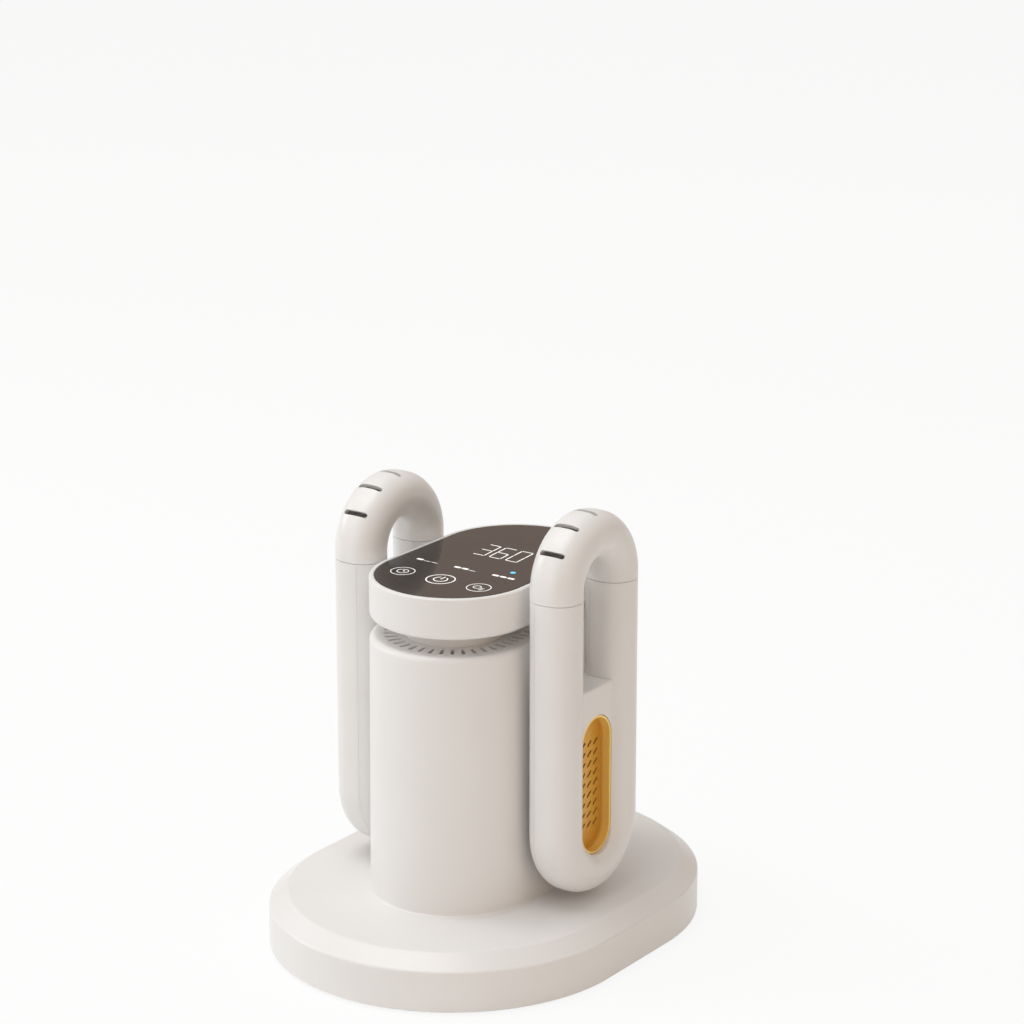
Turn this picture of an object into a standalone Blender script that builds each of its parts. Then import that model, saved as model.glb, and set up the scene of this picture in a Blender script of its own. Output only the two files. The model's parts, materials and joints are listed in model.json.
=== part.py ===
"""Electric shoe dryer: a stadium base, a column with fan and heater, a head with a touch panel, and two loop
arms whose upper hoops pull up to reach into boots.

Run with: blender --background --python part.py
Metres, +Z up. The origin is the centre of the base on the surface it stands on, -Y is the front.
"""
import math

import bmesh
import bpy
from mathutils import Matrix, Vector

# Clearances
GAP = 0.0003            # between pieces that touch
SLIDE_GAP = 0.0004      # around a hoop leg in its collars
TIP_GAP = 0.0012        # impeller blade to fan bore
SCREW_GAP = 0.0003      # around a screw

# Steps of a half circle
COARSE = 9
MEDIUM = 12
FINE = 17               # odd, so that a flat facet carries the gland
BEND_STEPS = 10         # loop bends, outside
BORE_STEPS = 6          # loop bends, inside
LIMB_STEPS = 6          # half of a limb's section

# Sides of a small round piece
SCREW_SIDES = 6
PIPE_SIDES = 16         # a multiple of four, so that a pipe lines up with its hole

# Base
BASE_RADIUS = 0.105     # of the round ends
BASE_RUN = 0.0311       # half of the straight side
BASE_WALL_RISE = 0.0232
BASE_RISE = 0.0310      # underside to flat top
BASE_CHAMFER = 0.0105   # width of the sloping band
BASE_SKIN = 0.0025
BASE_EDGE = 0.0012      # rounding of the band's edges
PLATE_RECESS = 0.0010
PLATE_THICK = 0.0030
BALLAST_MARGIN = 0.0230 # base's side to the ballast's
BALLAST_THICK = 0.0040
BALLAST_BORE = 0.0250
WIRE_HOLE_RADIUS = 0.0100

# Feet
FOOT_PROUD = 0.0015
FOOT_RADIUS = 0.0090
FOOT_SEAT_DEPTH = 0.0020
FOOT_MARGIN = 0.0170    # base's side to the line of feet and base screws
FOOT_ANGLE = math.radians(25)
BASE_SCREW_ANGLES = (math.radians(60), math.radians(120))

# Screws
SCREW_SHANK = 0.0015
SCREW_HEAD = 0.0028
SCREW_HEAD_THICK = 0.0010
SCREW_REACH = 0.0090    # shank length below the head
COUNTERSINK = 0.0014
BOSS_WALL = 0.0022
ARM_BOSS_WALL = 0.0015

# Cord gland
GLAND_CLEAR = 0.0010    # base plate to the gland's flange
GLAND_BORE = 0.0035
GLAND_RADIUS = 0.0050
GLAND_FLANGE = 0.0070
GLAND_FLANGE_THICK = 0.0010

# Column
COLUMN_RADIUS = 0.0469
COLUMN_RUN = 0.0299
COLUMN_RISE = 0.1510    # base top to column top
COLUMN_SKIN = 0.0025
COLUMN_FLARE = 0.0026
COLUMN_TOP_ROUND = 0.0035
COLUMN_BOSS_TRACK = 0.0395
COLUMN_BOSS_RISE = 0.0140
COLUMN_BOSS_RADIUS = 0.0056

# Intake grille
GRILLE_OUTER = 0.0410
GRILLE_THICK = 0.0026
GRILLE_LEDGE = 0.0022
SLOT_COUNT = 60
SLOT_INNER = 0.0312
SLOT_LENGTH = 0.0080
SLOT_WIDTH = 0.0020

# Neck
NECK_RADIUS = 0.0275
NECK_SKIN = 0.0022
NECK_RISE = 0.0099      # column top to head underside
NECK_FOOT_FLANGE = 0.0030
NECK_HEAD_FLANGE = 0.0065
NECK_FLANGE_THICK = 0.0020

# Head
HEAD_RISE = 0.0239
HEAD_SKIN = 0.0025
HEAD_FOOT_ROUND = 0.0050
HEAD_RIM_ROUND = 0.0012
GLASS_INSET = 0.0030    # head side to glass edge
GLASS_THICK = 0.0016
GLASS_LEDGE = 0.0022
BOARD_RADIUS = 0.0360
BOARD_THICK = 0.0016
BOARD_DROP = 0.0064     # glass underside to board top
BOARD_POST = 0.0030
PAD_SPACING = 0.0260
PAD_RADIUS = 0.0065
PAD_LINE = -0.0420
DISPLAY_SIZE = (0.0460, 0.0240)
DISPLAY_LINE = 0.0140
DISPLAY_THICK = 0.0042

# Arms
ARM_GAP = 0.0050        # column side to arm
ARM_DEPTH = 0.0300      # along X
LIMB_WIDTH = 0.0265     # along Y
LOOP_RADIUS = 0.0400    # outside of the loop's bend
ARM_LIFT = 0.0041       # arm above the base's top
LIMB_RISE = 0.1370      # bend centre to limb mouth
ARM_SKIN = 0.0025
ARM_BACK_DEPTH = 0.0090 # of the back cover
WEB_RECESS = 0.0060     # limb's outer face to the face around the gold dish
WEB_SET_IN = 0.0005     # limb's inner face to the web's back
WEB_RADIUS = 0.0280
WEB_RISE = 0.0810       # bend centre to the web's top
ARM_SCREW_ANGLES = (math.radians(-45), math.radians(-135))

# Gold dish
DISH_RADIUS = 0.0146
DISH_DROP = 0.0025      # loop's bend centre to the dish's lower round centre
DISH_RISE = 0.0520      # lower to upper round centre
DISH_DEPTH = 0.0080
DISH_SKIN = 0.0013
VENT_ROWS = 5
VENT_COLUMNS = 4
VENT_PITCH = (0.0060, 0.0110)
VENT_LENGTH = 0.0050
VENT_WIDTH = 0.0014
VENT_TILT = math.radians(38)

# Hoop
COLLAR_WALL = 0.0012
LEG_SKIN = 0.0018
LEG_REACH = 0.1180      # below the limb's mouth, at rest
LEG_FOOT_RISE = 0.0040
LEG_FOOT_GAP = 0.0004   # foot to the limb's bore
HOOP_COLLAR_RISE = 0.0080
ARCH_RISE = 0.0040      # straight part under the arch
ARCH_SKIN = 0.0025
HOOP_SLOTS = 5
HOOP_SLOT_WIDTH = 0.0030
HOOP_SLOT_MARGIN = 0.0070 # hoop's face to a slot's end
HOOP_SLOT_SWEEP = math.radians(108)

# Air path
SPOUT_HEIGHT = 0.0755   # base top to the air spigots
SPOUT_RADIUS = 0.0140
SPOUT_SKIN = 0.0016
SPOUT_FLANGE = 0.0180
SEAL_THICK = 0.0015
MANIFOLD_SIZE = (0.0760, 0.0800)
MANIFOLD_RISE = 0.0380
MANIFOLD_SKIN = 0.0020
SOCKET_WALL = 0.0026
HEATER_SIZE = (0.0760, 0.0800)
HEATER_RISE = 0.0140
HEATER_BORDER = 0.0040
FIN_ROWS = 8
FIN_PITCH = 0.0084
FIN_WIDTH = 0.0062
FIN_BAR = 0.0040        # bar between the two fin columns
FAN_SIDE = 0.0800
FAN_RISE = 0.0250
FAN_BORE = 0.0385
FAN_CUP = 0.0150
STRUT_WIDTH = 0.0035
STRUT_RISE = 0.0040
HUB_RADIUS = 0.0140
HUB_SKIN = 0.0018
HUB_RISE = 0.0155
HUB_LIFT = 0.0065       # hub's lower rim above the fan frame's underside
BLADE_COUNT = 7
BLADE_CHORD = (0.0105, 0.0190)
BLADE_PITCH = (math.radians(42), math.radians(24))
BLADE_THICK = 0.0013
MOTOR_RADIUS = 0.0100
MOTOR_RISE = 0.0130
SHAFT_RADIUS = 0.0015
CUTOUT_RADIUS = 0.0055
CUTOUT_THICK = 0.0040
OZONE_SIZE = (0.0240, 0.0150, 0.0200)
CHASSIS_SIZE = (0.0600, 0.0640)
CHASSIS_SKIN = 0.0020
CHASSIS_WINDOW = (0.0360, 0.0340)
BOARD_SIZE = (0.0540, 0.0420)
BOARD_PARTS = (("transformer", (0.0170, 0.0220, 0.0200), (-0.0120, 0.0040)),
               ("relay", (0.0120, 0.0150, 0.0160), (0.0120, 0.0040)))
CAPACITOR_RADIUS = 0.0050
CAPACITOR_REACH = 0.0160
WIRE_RADIUS = 0.0014
WIRE_LANE = 0.0100      # fan's side to the wires
WIRE_OFFSET = 0.0240    # column's middle plane to the wires, beside the heater
WIRE_STEPS = 2          # between the route's points

# Heights and places worked out from the above
BASE_FOOT = FOOT_PROUD
BASE_TOP = BASE_FOOT + BASE_RISE
BASE_CEILING = BASE_TOP - BASE_SKIN
PLATE_FOOT = BASE_FOOT + PLATE_RECESS
PLATE_TOP = PLATE_FOOT + PLATE_THICK
FOOT_TRACK = BASE_RADIUS - FOOT_MARGIN
BALLAST_RADIUS = BASE_RADIUS - BALLAST_MARGIN
BASE_BACK = BASE_RUN + BASE_RADIUS * math.cos(math.pi / (2 * FINE))
GLAND_Z = PLATE_TOP + GLAND_CLEAR + GLAND_FLANGE
COLUMN_FOOT = BASE_TOP + GAP
COLUMN_TOP = BASE_TOP + COLUMN_RISE
COLUMN_INNER = COLUMN_RADIUS - COLUMN_SKIN
HEAD_FOOT = COLUMN_TOP + NECK_RISE
HEAD_TOP = HEAD_FOOT + HEAD_RISE
HEAD_FLOOR = HEAD_FOOT + HEAD_SKIN
GLASS_FOOT = HEAD_TOP - GLASS_THICK
BOARD_TOP = GLASS_FOOT - BOARD_DROP
SPOUT_Z = BASE_TOP + SPOUT_HEIGHT
MANIFOLD_FOOT = SPOUT_Z - MANIFOLD_RISE / 2
MANIFOLD_TOP = MANIFOLD_FOOT + MANIFOLD_RISE
HEATER_FOOT = MANIFOLD_TOP + GAP
FAN_FOOT = HEATER_FOOT + HEATER_RISE + GAP
ARM_X = COLUMN_RADIUS + ARM_GAP + ARM_DEPTH / 2
LOOP_Z = BASE_TOP + ARM_LIFT + LOOP_RADIUS
LOOP_TRACK = LOOP_RADIUS - LIMB_WIDTH / 2
DISH_Z = LOOP_Z - DISH_DROP
LIMB_MOUTH = LOOP_Z + LIMB_RISE
ARCH_Z = LIMB_MOUTH + GAP + ARCH_RISE
BORE_DEPTH = ARM_DEPTH - 2 * ARM_SKIN
BORE_WIDTH = LIMB_WIDTH - 2 * ARM_SKIN
COLLAR_FIT = GAP + COLLAR_WALL + SLIDE_GAP
LEG_DEPTH = BORE_DEPTH - 2 * COLLAR_FIT
LEG_WIDTH = BORE_WIDTH - 2 * COLLAR_FIT
ARM_SPLIT = ARM_BACK_DEPTH - ARM_DEPTH / 2   # seam, from the arm's middle
WEB_FRONT = ARM_DEPTH / 2 - WEB_RECESS
WEB_BACK = WEB_SET_IN - ARM_DEPTH / 2
SIDES = (("right", 1), ("left", -1))


def clear_scene():
    """Empty the file, whatever it holds."""
    for item in list(bpy.data.objects):
        bpy.data.objects.remove(item, do_unlink=True)


def finish(name, colour, roughness, metallic=0.0):
    """A material with the colour and gloss of one of the dryer's plastics or metals."""
    material = bpy.data.materials.get(name) or bpy.data.materials.new(name)
    material.use_nodes = True
    shader = material.node_tree.nodes["Principled BSDF"]
    shader.inputs["Base Color"].default_value = (*colour, 1.0)
    shader.inputs["Roughness"].default_value = roughness
    shader.inputs["Metallic"].default_value = metallic
    return material


def white():
    return finish("warm_white_plastic", (0.84, 0.82, 0.80), 0.34)


def grey():
    return finish("pale_grey_plastic", (0.62, 0.61, 0.60), 0.42)


def gold():
    return finish("amber_gold_plastic", (0.78, 0.42, 0.07), 0.30, 0.35)


def steel():
    return finish("zinc_steel", (0.56, 0.57, 0.58), 0.36, 1.0)


def rubber():
    return finish("dark_rubber", (0.03, 0.03, 0.03), 0.80)


def black():
    return finish("black_plastic", (0.02, 0.02, 0.022), 0.45)


def circuit():
    return finish("green_circuit_board", (0.03, 0.16, 0.08), 0.50)


def milky():
    return finish("milky_display", (0.80, 0.86, 0.88), 0.50)


def aluminium():
    return finish("heater_aluminium", (0.70, 0.71, 0.72), 0.40, 1.0)


def origin(name, place=(0.0, 0.0, 0.0), parent=None):
    """An empty that carries the pieces of one sub-assembly."""
    empty = bpy.data.objects.new(name, None)
    empty.location = place
    empty.parent = parent
    bpy.context.scene.collection.objects.link(empty)
    return empty


def piece(name, bm, material, parent=None, place=(0.0, 0.0, 0.0), side=1, smooth=math.radians(32)):
    """Turn a bmesh into a named object; side -1 gives the left-hand copy."""
    bmesh.ops.remove_doubles(bm, verts=bm.verts, dist=1e-7)
    bmesh.ops.recalc_face_normals(bm, faces=bm.faces)
    if side < 0:
        bmesh.ops.scale(bm, vec=(-1, 1, 1), verts=bm.verts)
        bmesh.ops.reverse_faces(bm, faces=bm.faces)
    mesh = bpy.data.meshes.new(name)
    bm.to_mesh(mesh)
    bm.free()
    if material:
        mesh.materials.append(material)
    mesh.shade_smooth()
    mesh.set_sharp_from_angle(angle=smooth)
    obj = bpy.data.objects.new(name, mesh)
    obj.location = place
    obj.parent = parent
    bpy.context.scene.collection.objects.link(obj)
    return obj


def combine(obj, bm, operation, parent=None, place=(0.0, 0.0, 0.0), side=1):
    """Cut a hidden body out of an object, or join it on."""
    tool = piece(obj.name + "_" + operation.lower(), bm, None, parent, place, side)
    tool.hide_render = True
    tool.display_type = "WIRE"
    step = obj.modifiers.new(operation.lower(), "BOOLEAN")
    step.operation = operation
    step.solver = "EXACT"
    step.object = tool
    return step


def arc(centre, radius, start, end, steps):
    """Points along an arc, both ends included, angles in degrees."""
    turns = [math.radians(start + (end - start) * i / steps) for i in range(steps + 1)]
    return [(centre[0] + radius * math.cos(t), centre[1] + radius * math.sin(t)) for t in turns]


def stadium(radius, run, steps):
    """A stadium outline about the origin, long along Y."""
    back = arc((0.0, run), radius, 0, 180, steps)
    front = arc((0.0, -run), radius, 180, 360, steps)
    return back + front


def loft(bm, rings, closed=False):
    """Join rings of equally many points into a tube, with caps unless it closes on itself."""
    layers = [[bm.verts.new(point) for point in ring] for ring in rings]
    pairs = list(zip(layers, layers[1:]))
    if closed:
        pairs.append((layers[-1], layers[0]))
    for low, high in pairs:
        for i in range(len(low)):
            j = (i + 1) % len(low)
            bm.faces.new((low[i], low[j], high[j], high[i]))
    if not closed:
        bm.faces.new(layers[0][::-1])
        bm.faces.new(layers[-1])
    return bm


def stadium_body(profile, run, steps, closed=True, bm=None):
    """Carry a profile of (radius, height) points round a stadium."""
    bm = bm or bmesh.new()
    rings = [[(x, y, height) for x, y in stadium(radius, run, steps)] for radius, height in profile]
    return loft(bm, rings, closed)


def turned_body(profile, steps, closed=True, centre=(0.0, 0.0), bm=None):
    """Carry a profile of (radius, height) points round a circle."""
    bm = bm or bmesh.new()
    turns = [2 * math.pi * i / steps for i in range(steps)]
    rings = []
    for radius, height in profile:
        rings.append([(centre[0] + radius * math.cos(t), centre[1] + radius * math.sin(t), height) for t in turns])
    return loft(bm, rings, closed)


def rod(bm, radius, start, end, steps=12):
    """A plain cylinder between two points."""
    start = Vector(start)
    end = Vector(end)
    aim = (end - start).to_track_quat("Z", "Y").to_matrix().to_4x4()
    place = Matrix.Translation((start + end) / 2) @ aim
    bmesh.ops.create_cone(bm, cap_ends=True, segments=steps, radius1=radius, radius2=radius,
                          depth=(end - start).length, matrix=place)
    return bm


def block(bm, low, high):
    """A box between two corners."""
    size = Vector(high) - Vector(low)
    middle = (Vector(high) + Vector(low)) / 2
    matrix = Matrix.Translation(middle) @ Matrix.Diagonal((*size, 1.0))
    bmesh.ops.create_cube(bm, size=1.0, matrix=matrix)
    return bm


def screw(axis):
    """A pan-head screw with the outer face of its head at the origin, driven in along axis."""
    profile = [(SCREW_HEAD, 0.0), (SCREW_HEAD, SCREW_HEAD_THICK), (SCREW_SHANK, SCREW_HEAD_THICK),
               (SCREW_SHANK, SCREW_HEAD_THICK + SCREW_REACH)]
    bm = turned_body(profile, SCREW_SIDES, False)
    aim = Vector(axis).to_track_quat("Z", "Y").to_matrix()
    bmesh.ops.rotate(bm, cent=(0, 0, 0), matrix=aim, verts=bm.verts)
    return bm


def around_stadium(radius, run, angles):
    """Places at the given angles of the back end, and their twins at the front."""
    places = []
    for angle in angles:
        x = radius * math.cos(angle)
        y = radius * math.sin(angle)
        if abs(y) < 1e-6:
            places += [(x, 0.0), (-x, 0.0)]
        else:
            places += [(x, run + y), (x, -run - y)]
    return places


# Base

def base_screw_places():
    return around_stadium(FOOT_TRACK, BASE_RUN, BASE_SCREW_ANGLES)


def foot_places():
    return around_stadium(FOOT_TRACK, BASE_RUN, (FOOT_ANGLE, math.pi - FOOT_ANGLE))


def column_screw_places():
    return [(0.0, -COLUMN_RUN - COLUMN_BOSS_TRACK), (0.0, COLUMN_RUN + COLUMN_BOSS_TRACK)]


def base_cover_profile():
    """From the ceiling, down inside, round the skirt and up to the flat top."""
    inner = BASE_RADIUS - BASE_SKIN
    wall_top = BASE_FOOT + BASE_WALL_RISE
    flat = BASE_RADIUS - BASE_CHAMFER
    slope = math.degrees(math.atan2(BASE_TOP - wall_top, BASE_CHAMFER))
    turn = math.tan(math.radians((90 - slope) / 2)) * BASE_EDGE
    shoulder = arc((BASE_RADIUS - BASE_EDGE, wall_top - turn), BASE_EDGE, 0, 90 - slope, 2)
    lip = math.tan(math.radians(slope / 2)) * BASE_EDGE
    crest = arc((flat - lip, BASE_TOP - BASE_EDGE), BASE_EDGE, 90 - slope, 90, 1)
    return [(flat - BASE_SKIN / 2, BASE_CEILING), (inner, wall_top - BASE_SKIN / 2), (inner, BASE_FOOT),
            (BASE_RADIUS - BASE_EDGE / 2, BASE_FOOT), (BASE_RADIUS, BASE_FOOT + BASE_EDGE / 2)] + shoulder + crest


def make_base_cover(parent):
    obj = piece("base_cover", stadium_body(base_cover_profile(), BASE_RUN, FINE, closed=False), white(), parent)
    bosses = bmesh.new()
    for x, y in base_screw_places():
        rod(bosses, SCREW_SHANK + SCREW_GAP + BOSS_WALL, (x, y, PLATE_TOP + GAP), (x, y, BASE_CEILING + BASE_SKIN / 2),
            SCREW_SIDES)
    combine(obj, bosses, "UNION", parent)
    holes = bmesh.new()
    for x, y in base_screw_places():
        rod(holes, SCREW_SHANK + SCREW_GAP, (x, y, BASE_FOOT), (x, y, PLATE_TOP + SCREW_REACH + GAP), SCREW_SIDES)
    for x, y in column_screw_places():
        rod(holes, SCREW_SHANK + SCREW_GAP, (x, y, BASE_CEILING - BASE_SKIN), (x, y, BASE_TOP + BASE_SKIN), SCREW_SIDES)
    rod(holes, WIRE_HOLE_RADIUS, (0, 0, BASE_CEILING - BASE_SKIN), (0, 0, BASE_TOP + BASE_SKIN), PIPE_SIDES)
    rod(holes, GLAND_RADIUS + GAP, (0, BASE_BACK - 4 * BASE_SKIN, GLAND_Z), (0, BASE_BACK + BASE_SKIN, GLAND_Z),
        PIPE_SIDES)
    combine(obj, holes, "DIFFERENCE", parent)
    seat = rod(bmesh.new(), GLAND_FLANGE + GAP, (0, BASE_BACK - GLAND_FLANGE_THICK - GAP, GLAND_Z),
               (0, BASE_BACK + BASE_SKIN, GLAND_Z), PIPE_SIDES)
    combine(obj, seat, "DIFFERENCE", parent)
    return obj


def make_base_plate(parent):
    radius = BASE_RADIUS - BASE_SKIN - GAP
    obj = piece("base_plate", stadium_body([(radius, PLATE_FOOT), (radius, PLATE_TOP)], BASE_RUN, FINE, False),
                grey(), parent)
    cuts = bmesh.new()
    for x, y in foot_places():
        rod(cuts, FOOT_RADIUS + GAP, (x, y, PLATE_FOOT - GAP), (x, y, PLATE_FOOT + FOOT_SEAT_DEPTH), PIPE_SIDES)
    for x, y in base_screw_places():
        shoulder = PLATE_FOOT + COUNTERSINK
        turned_body([(SCREW_HEAD + SCREW_GAP, PLATE_FOOT - GAP), (SCREW_HEAD + SCREW_GAP, shoulder),
                     (SCREW_SHANK + SCREW_GAP, shoulder), (SCREW_SHANK + SCREW_GAP, PLATE_TOP + GAP)],
                    SCREW_SIDES, False, (x, y), cuts)
    combine(obj, cuts, "DIFFERENCE", parent)
    return obj


def make_ballast(parent):
    foot = PLATE_TOP + GAP
    bm = stadium_body([(BALLAST_RADIUS, foot), (BALLAST_RADIUS, foot + BALLAST_THICK),
                       (BALLAST_BORE, foot + BALLAST_THICK), (BALLAST_BORE, foot)], BASE_RUN, FINE)
    return piece("ballast_plate", bm, steel(), parent)


def make_feet(parent):
    top = PLATE_FOOT + FOOT_SEAT_DEPTH - GAP
    for index, (x, y) in enumerate(foot_places(), 1):
        edge = FOOT_PROUD / 3
        bm = turned_body([(FOOT_RADIUS - edge, 0.0), (FOOT_RADIUS, edge), (FOOT_RADIUS, top)], PIPE_SIDES, False)
        piece(f"foot_{index}", bm, rubber(), parent, (x, y, 0.0))


def make_base_screws(parent):
    sets = (("base_screw", base_screw_places(), PLATE_FOOT + COUNTERSINK),
            ("column_screw", column_screw_places(), BASE_CEILING))
    for name, places, seat in sets:
        for index, (x, y) in enumerate(places, 1):
            piece(f"{name}_{index}", screw((0, 0, 1)), steel(), parent, (x, y, seat - GAP - SCREW_HEAD_THICK))


def make_cord_gland(parent):
    """Grommet in the back wall, flush with it outside, turned about the cord's axis."""
    inner = -BASE_SKIN - GAP
    profile = [(GLAND_BORE, inner - GLAND_FLANGE_THICK), (GLAND_FLANGE, inner - GLAND_FLANGE_THICK),
               (GLAND_FLANGE, inner), (GLAND_RADIUS, inner), (GLAND_RADIUS, -GLAND_FLANGE_THICK),
               (GLAND_FLANGE, -GLAND_FLANGE_THICK), (GLAND_FLANGE, 0.0), (GLAND_BORE, 0.0)]
    bm = turned_body(profile, PIPE_SIDES)
    bmesh.ops.rotate(bm, cent=(0, 0, 0), matrix=Matrix.Rotation(-math.pi / 2, 3, "X"), verts=bm.verts)
    place = (0, BASE_BACK, GLAND_Z)
    return piece("cord_gland", bm, rubber(), parent, place)


# Column and air path

def make_column_shell(parent):
    flare = arc((COLUMN_RADIUS + COLUMN_FLARE, COLUMN_FOOT + GAP + COLUMN_FLARE), COLUMN_FLARE, 270, 180, 3)
    crown = arc((COLUMN_RADIUS - COLUMN_TOP_ROUND, COLUMN_TOP - COLUMN_TOP_ROUND), COLUMN_TOP_ROUND, 0, 90, 3)
    mouth = GRILLE_OUTER + GAP
    ledge_top = COLUMN_TOP - GRILLE_THICK - GAP
    ledge_foot = ledge_top - COLUMN_SKIN
    profile = [(COLUMN_INNER, COLUMN_FOOT), (COLUMN_RADIUS + COLUMN_FLARE, COLUMN_FOOT)] + flare + crown + [
        (mouth, COLUMN_TOP), (mouth, ledge_top), (mouth - GRILLE_LEDGE, ledge_top), (mouth - GRILLE_LEDGE, ledge_foot),
        (COLUMN_INNER, ledge_foot - COLUMN_SKIN)]
    obj = piece("column_shell", stadium_body(profile, COLUMN_RUN, MEDIUM), white(), parent)
    bosses = bmesh.new()
    for x, y in column_screw_places():
        rod(bosses, COLUMN_BOSS_RADIUS, (x, y, COLUMN_FOOT), (x, y, COLUMN_FOOT + COLUMN_BOSS_RISE), 12)
    combine(obj, bosses, "UNION", parent)
    holes = bmesh.new()
    for x, y in column_screw_places():
        rod(holes, SCREW_SHANK + SCREW_GAP, (x, y, COLUMN_FOOT - GAP), (x, y, COLUMN_FOOT + SCREW_REACH), SCREW_SIDES)
    for _, side in SIDES:
        rod(holes, SPOUT_RADIUS + GAP, (side * (COLUMN_INNER - COLUMN_SKIN), 0, SPOUT_Z),
            (side * (COLUMN_RADIUS + COLUMN_SKIN), 0, SPOUT_Z), PIPE_SIDES)
    combine(obj, holes, "DIFFERENCE", parent)
    return obj


def slot_cutter():
    """One box for each radial slot, spaced evenly along the stadium."""
    bm = bmesh.new()
    middle = SLOT_INNER + SLOT_LENGTH / 2
    half = math.pi * middle
    total = 2 * half + 4 * COLUMN_RUN
    foot = COLUMN_TOP - 2 * GRILLE_THICK
    head = COLUMN_TOP + GRILLE_THICK
    for i in range(SLOT_COUNT):
        way = total * (i + 0.5) / SLOT_COUNT
        if way < half:
            centre = COLUMN_RUN
            angle = way / middle
        elif way < half + 2 * COLUMN_RUN:
            centre = COLUMN_RUN - (way - half)
            angle = math.pi
        elif way < 2 * half + 2 * COLUMN_RUN:
            centre = -COLUMN_RUN
            angle = math.pi + (way - half - 2 * COLUMN_RUN) / middle
        else:
            centre = -COLUMN_RUN + (way - 2 * half - 2 * COLUMN_RUN)
            angle = 0.0
        start = len(bm.verts)
        block(bm, (SLOT_INNER, -SLOT_WIDTH / 2, foot), (SLOT_INNER + SLOT_LENGTH, SLOT_WIDTH / 2, head))
        bm.verts.ensure_lookup_table()
        fresh = bm.verts[start:]
        turn = Matrix.Translation((0, centre, 0)) @ Matrix.Rotation(angle, 4, "Z")
        bmesh.ops.transform(bm, matrix=turn, verts=fresh)
    return bm


def make_intake_grille(parent):
    inner = NECK_RADIUS + GAP
    foot = COLUMN_TOP - GRILLE_THICK
    profile = [(inner, foot), (GRILLE_OUTER, foot), (GRILLE_OUTER, COLUMN_TOP), (inner, COLUMN_TOP)]
    obj = piece("intake_grille", stadium_body(profile, COLUMN_RUN, MEDIUM), white(), parent)
    combine(obj, slot_cutter(), "DIFFERENCE", parent)
    return obj


def make_chassis(parent):
    foot = BASE_TOP + GAP
    top = MANIFOLD_FOOT - GAP
    x, y = CHASSIS_SIZE[0] / 2, CHASSIS_SIZE[1] / 2
    obj = piece("chassis", block(bmesh.new(), (-x, -y, foot), (x, y, top)), grey(), parent)
    hollow = block(bmesh.new(), (-x + CHASSIS_SKIN, -y + CHASSIS_SKIN, foot - CHASSIS_SKIN),
                   (x - CHASSIS_SKIN, y - CHASSIS_SKIN, top + CHASSIS_SKIN))
    combine(obj, hollow, "DIFFERENCE", parent)
    middle = (foot + top) / 2
    wide, tall = CHASSIS_WINDOW[0] / 2, CHASSIS_WINDOW[1] / 2
    windows = block(bmesh.new(), (-wide, -2 * y, middle - tall), (wide, 2 * y, middle + tall))
    combine(obj, windows, "DIFFERENCE", parent)
    return obj


def board_face():
    """X of the power board's component side."""
    return -CHASSIS_SIZE[0] / 2 + CHASSIS_SKIN + GAP + BOARD_THICK


def make_power_board(parent):
    foot = BASE_TOP + CHASSIS_SKIN + GAP
    half = BOARD_SIZE[0] / 2
    face = board_face()
    board = block(bmesh.new(), (face - BOARD_THICK, -half, foot), (face, half, foot + BOARD_SIZE[1]))
    piece("power_board", board, circuit(), parent)
    near = face + GAP
    for name, (deep, wide, tall), (y, rise) in BOARD_PARTS:
        low = (near, y - wide / 2, foot + rise)
        high = (near + deep, y + wide / 2, foot + rise + tall)
        piece(name, block(bmesh.new(), low, high), black(), parent)
    middle = foot + BOARD_SIZE[1] - 2 * CAPACITOR_RADIUS
    can = rod(bmesh.new(), CAPACITOR_RADIUS, (near, -half / 2, middle), (near + CAPACITOR_REACH, -half / 2, middle))
    piece("capacitor", can, black(), parent)


def make_manifold(parent):
    x, y = MANIFOLD_SIZE[0] / 2, MANIFOLD_SIZE[1] / 2
    obj = piece("air_manifold", block(bmesh.new(), (-x, -y, MANIFOLD_FOOT), (x, y, MANIFOLD_TOP)), grey(), parent)
    socket = SPOUT_RADIUS + GAP + SOCKET_WALL
    reach = COLUMN_INNER - GAP
    sockets = rod(bmesh.new(), socket, (-reach, 0, SPOUT_Z), (reach, 0, SPOUT_Z), PIPE_SIDES)
    combine(obj, sockets, "UNION", parent)
    hollow = block(bmesh.new(), (-x + MANIFOLD_SKIN, -y + MANIFOLD_SKIN, MANIFOLD_FOOT + MANIFOLD_SKIN),
                   (x - MANIFOLD_SKIN, y - MANIFOLD_SKIN, MANIFOLD_TOP + MANIFOLD_SKIN))
    combine(obj, hollow, "DIFFERENCE", parent)
    bores = rod(bmesh.new(), SPOUT_RADIUS + GAP, (-2 * reach, 0, SPOUT_Z), (2 * reach, 0, SPOUT_Z), PIPE_SIDES)
    combine(obj, bores, "DIFFERENCE", parent)
    return obj


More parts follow.
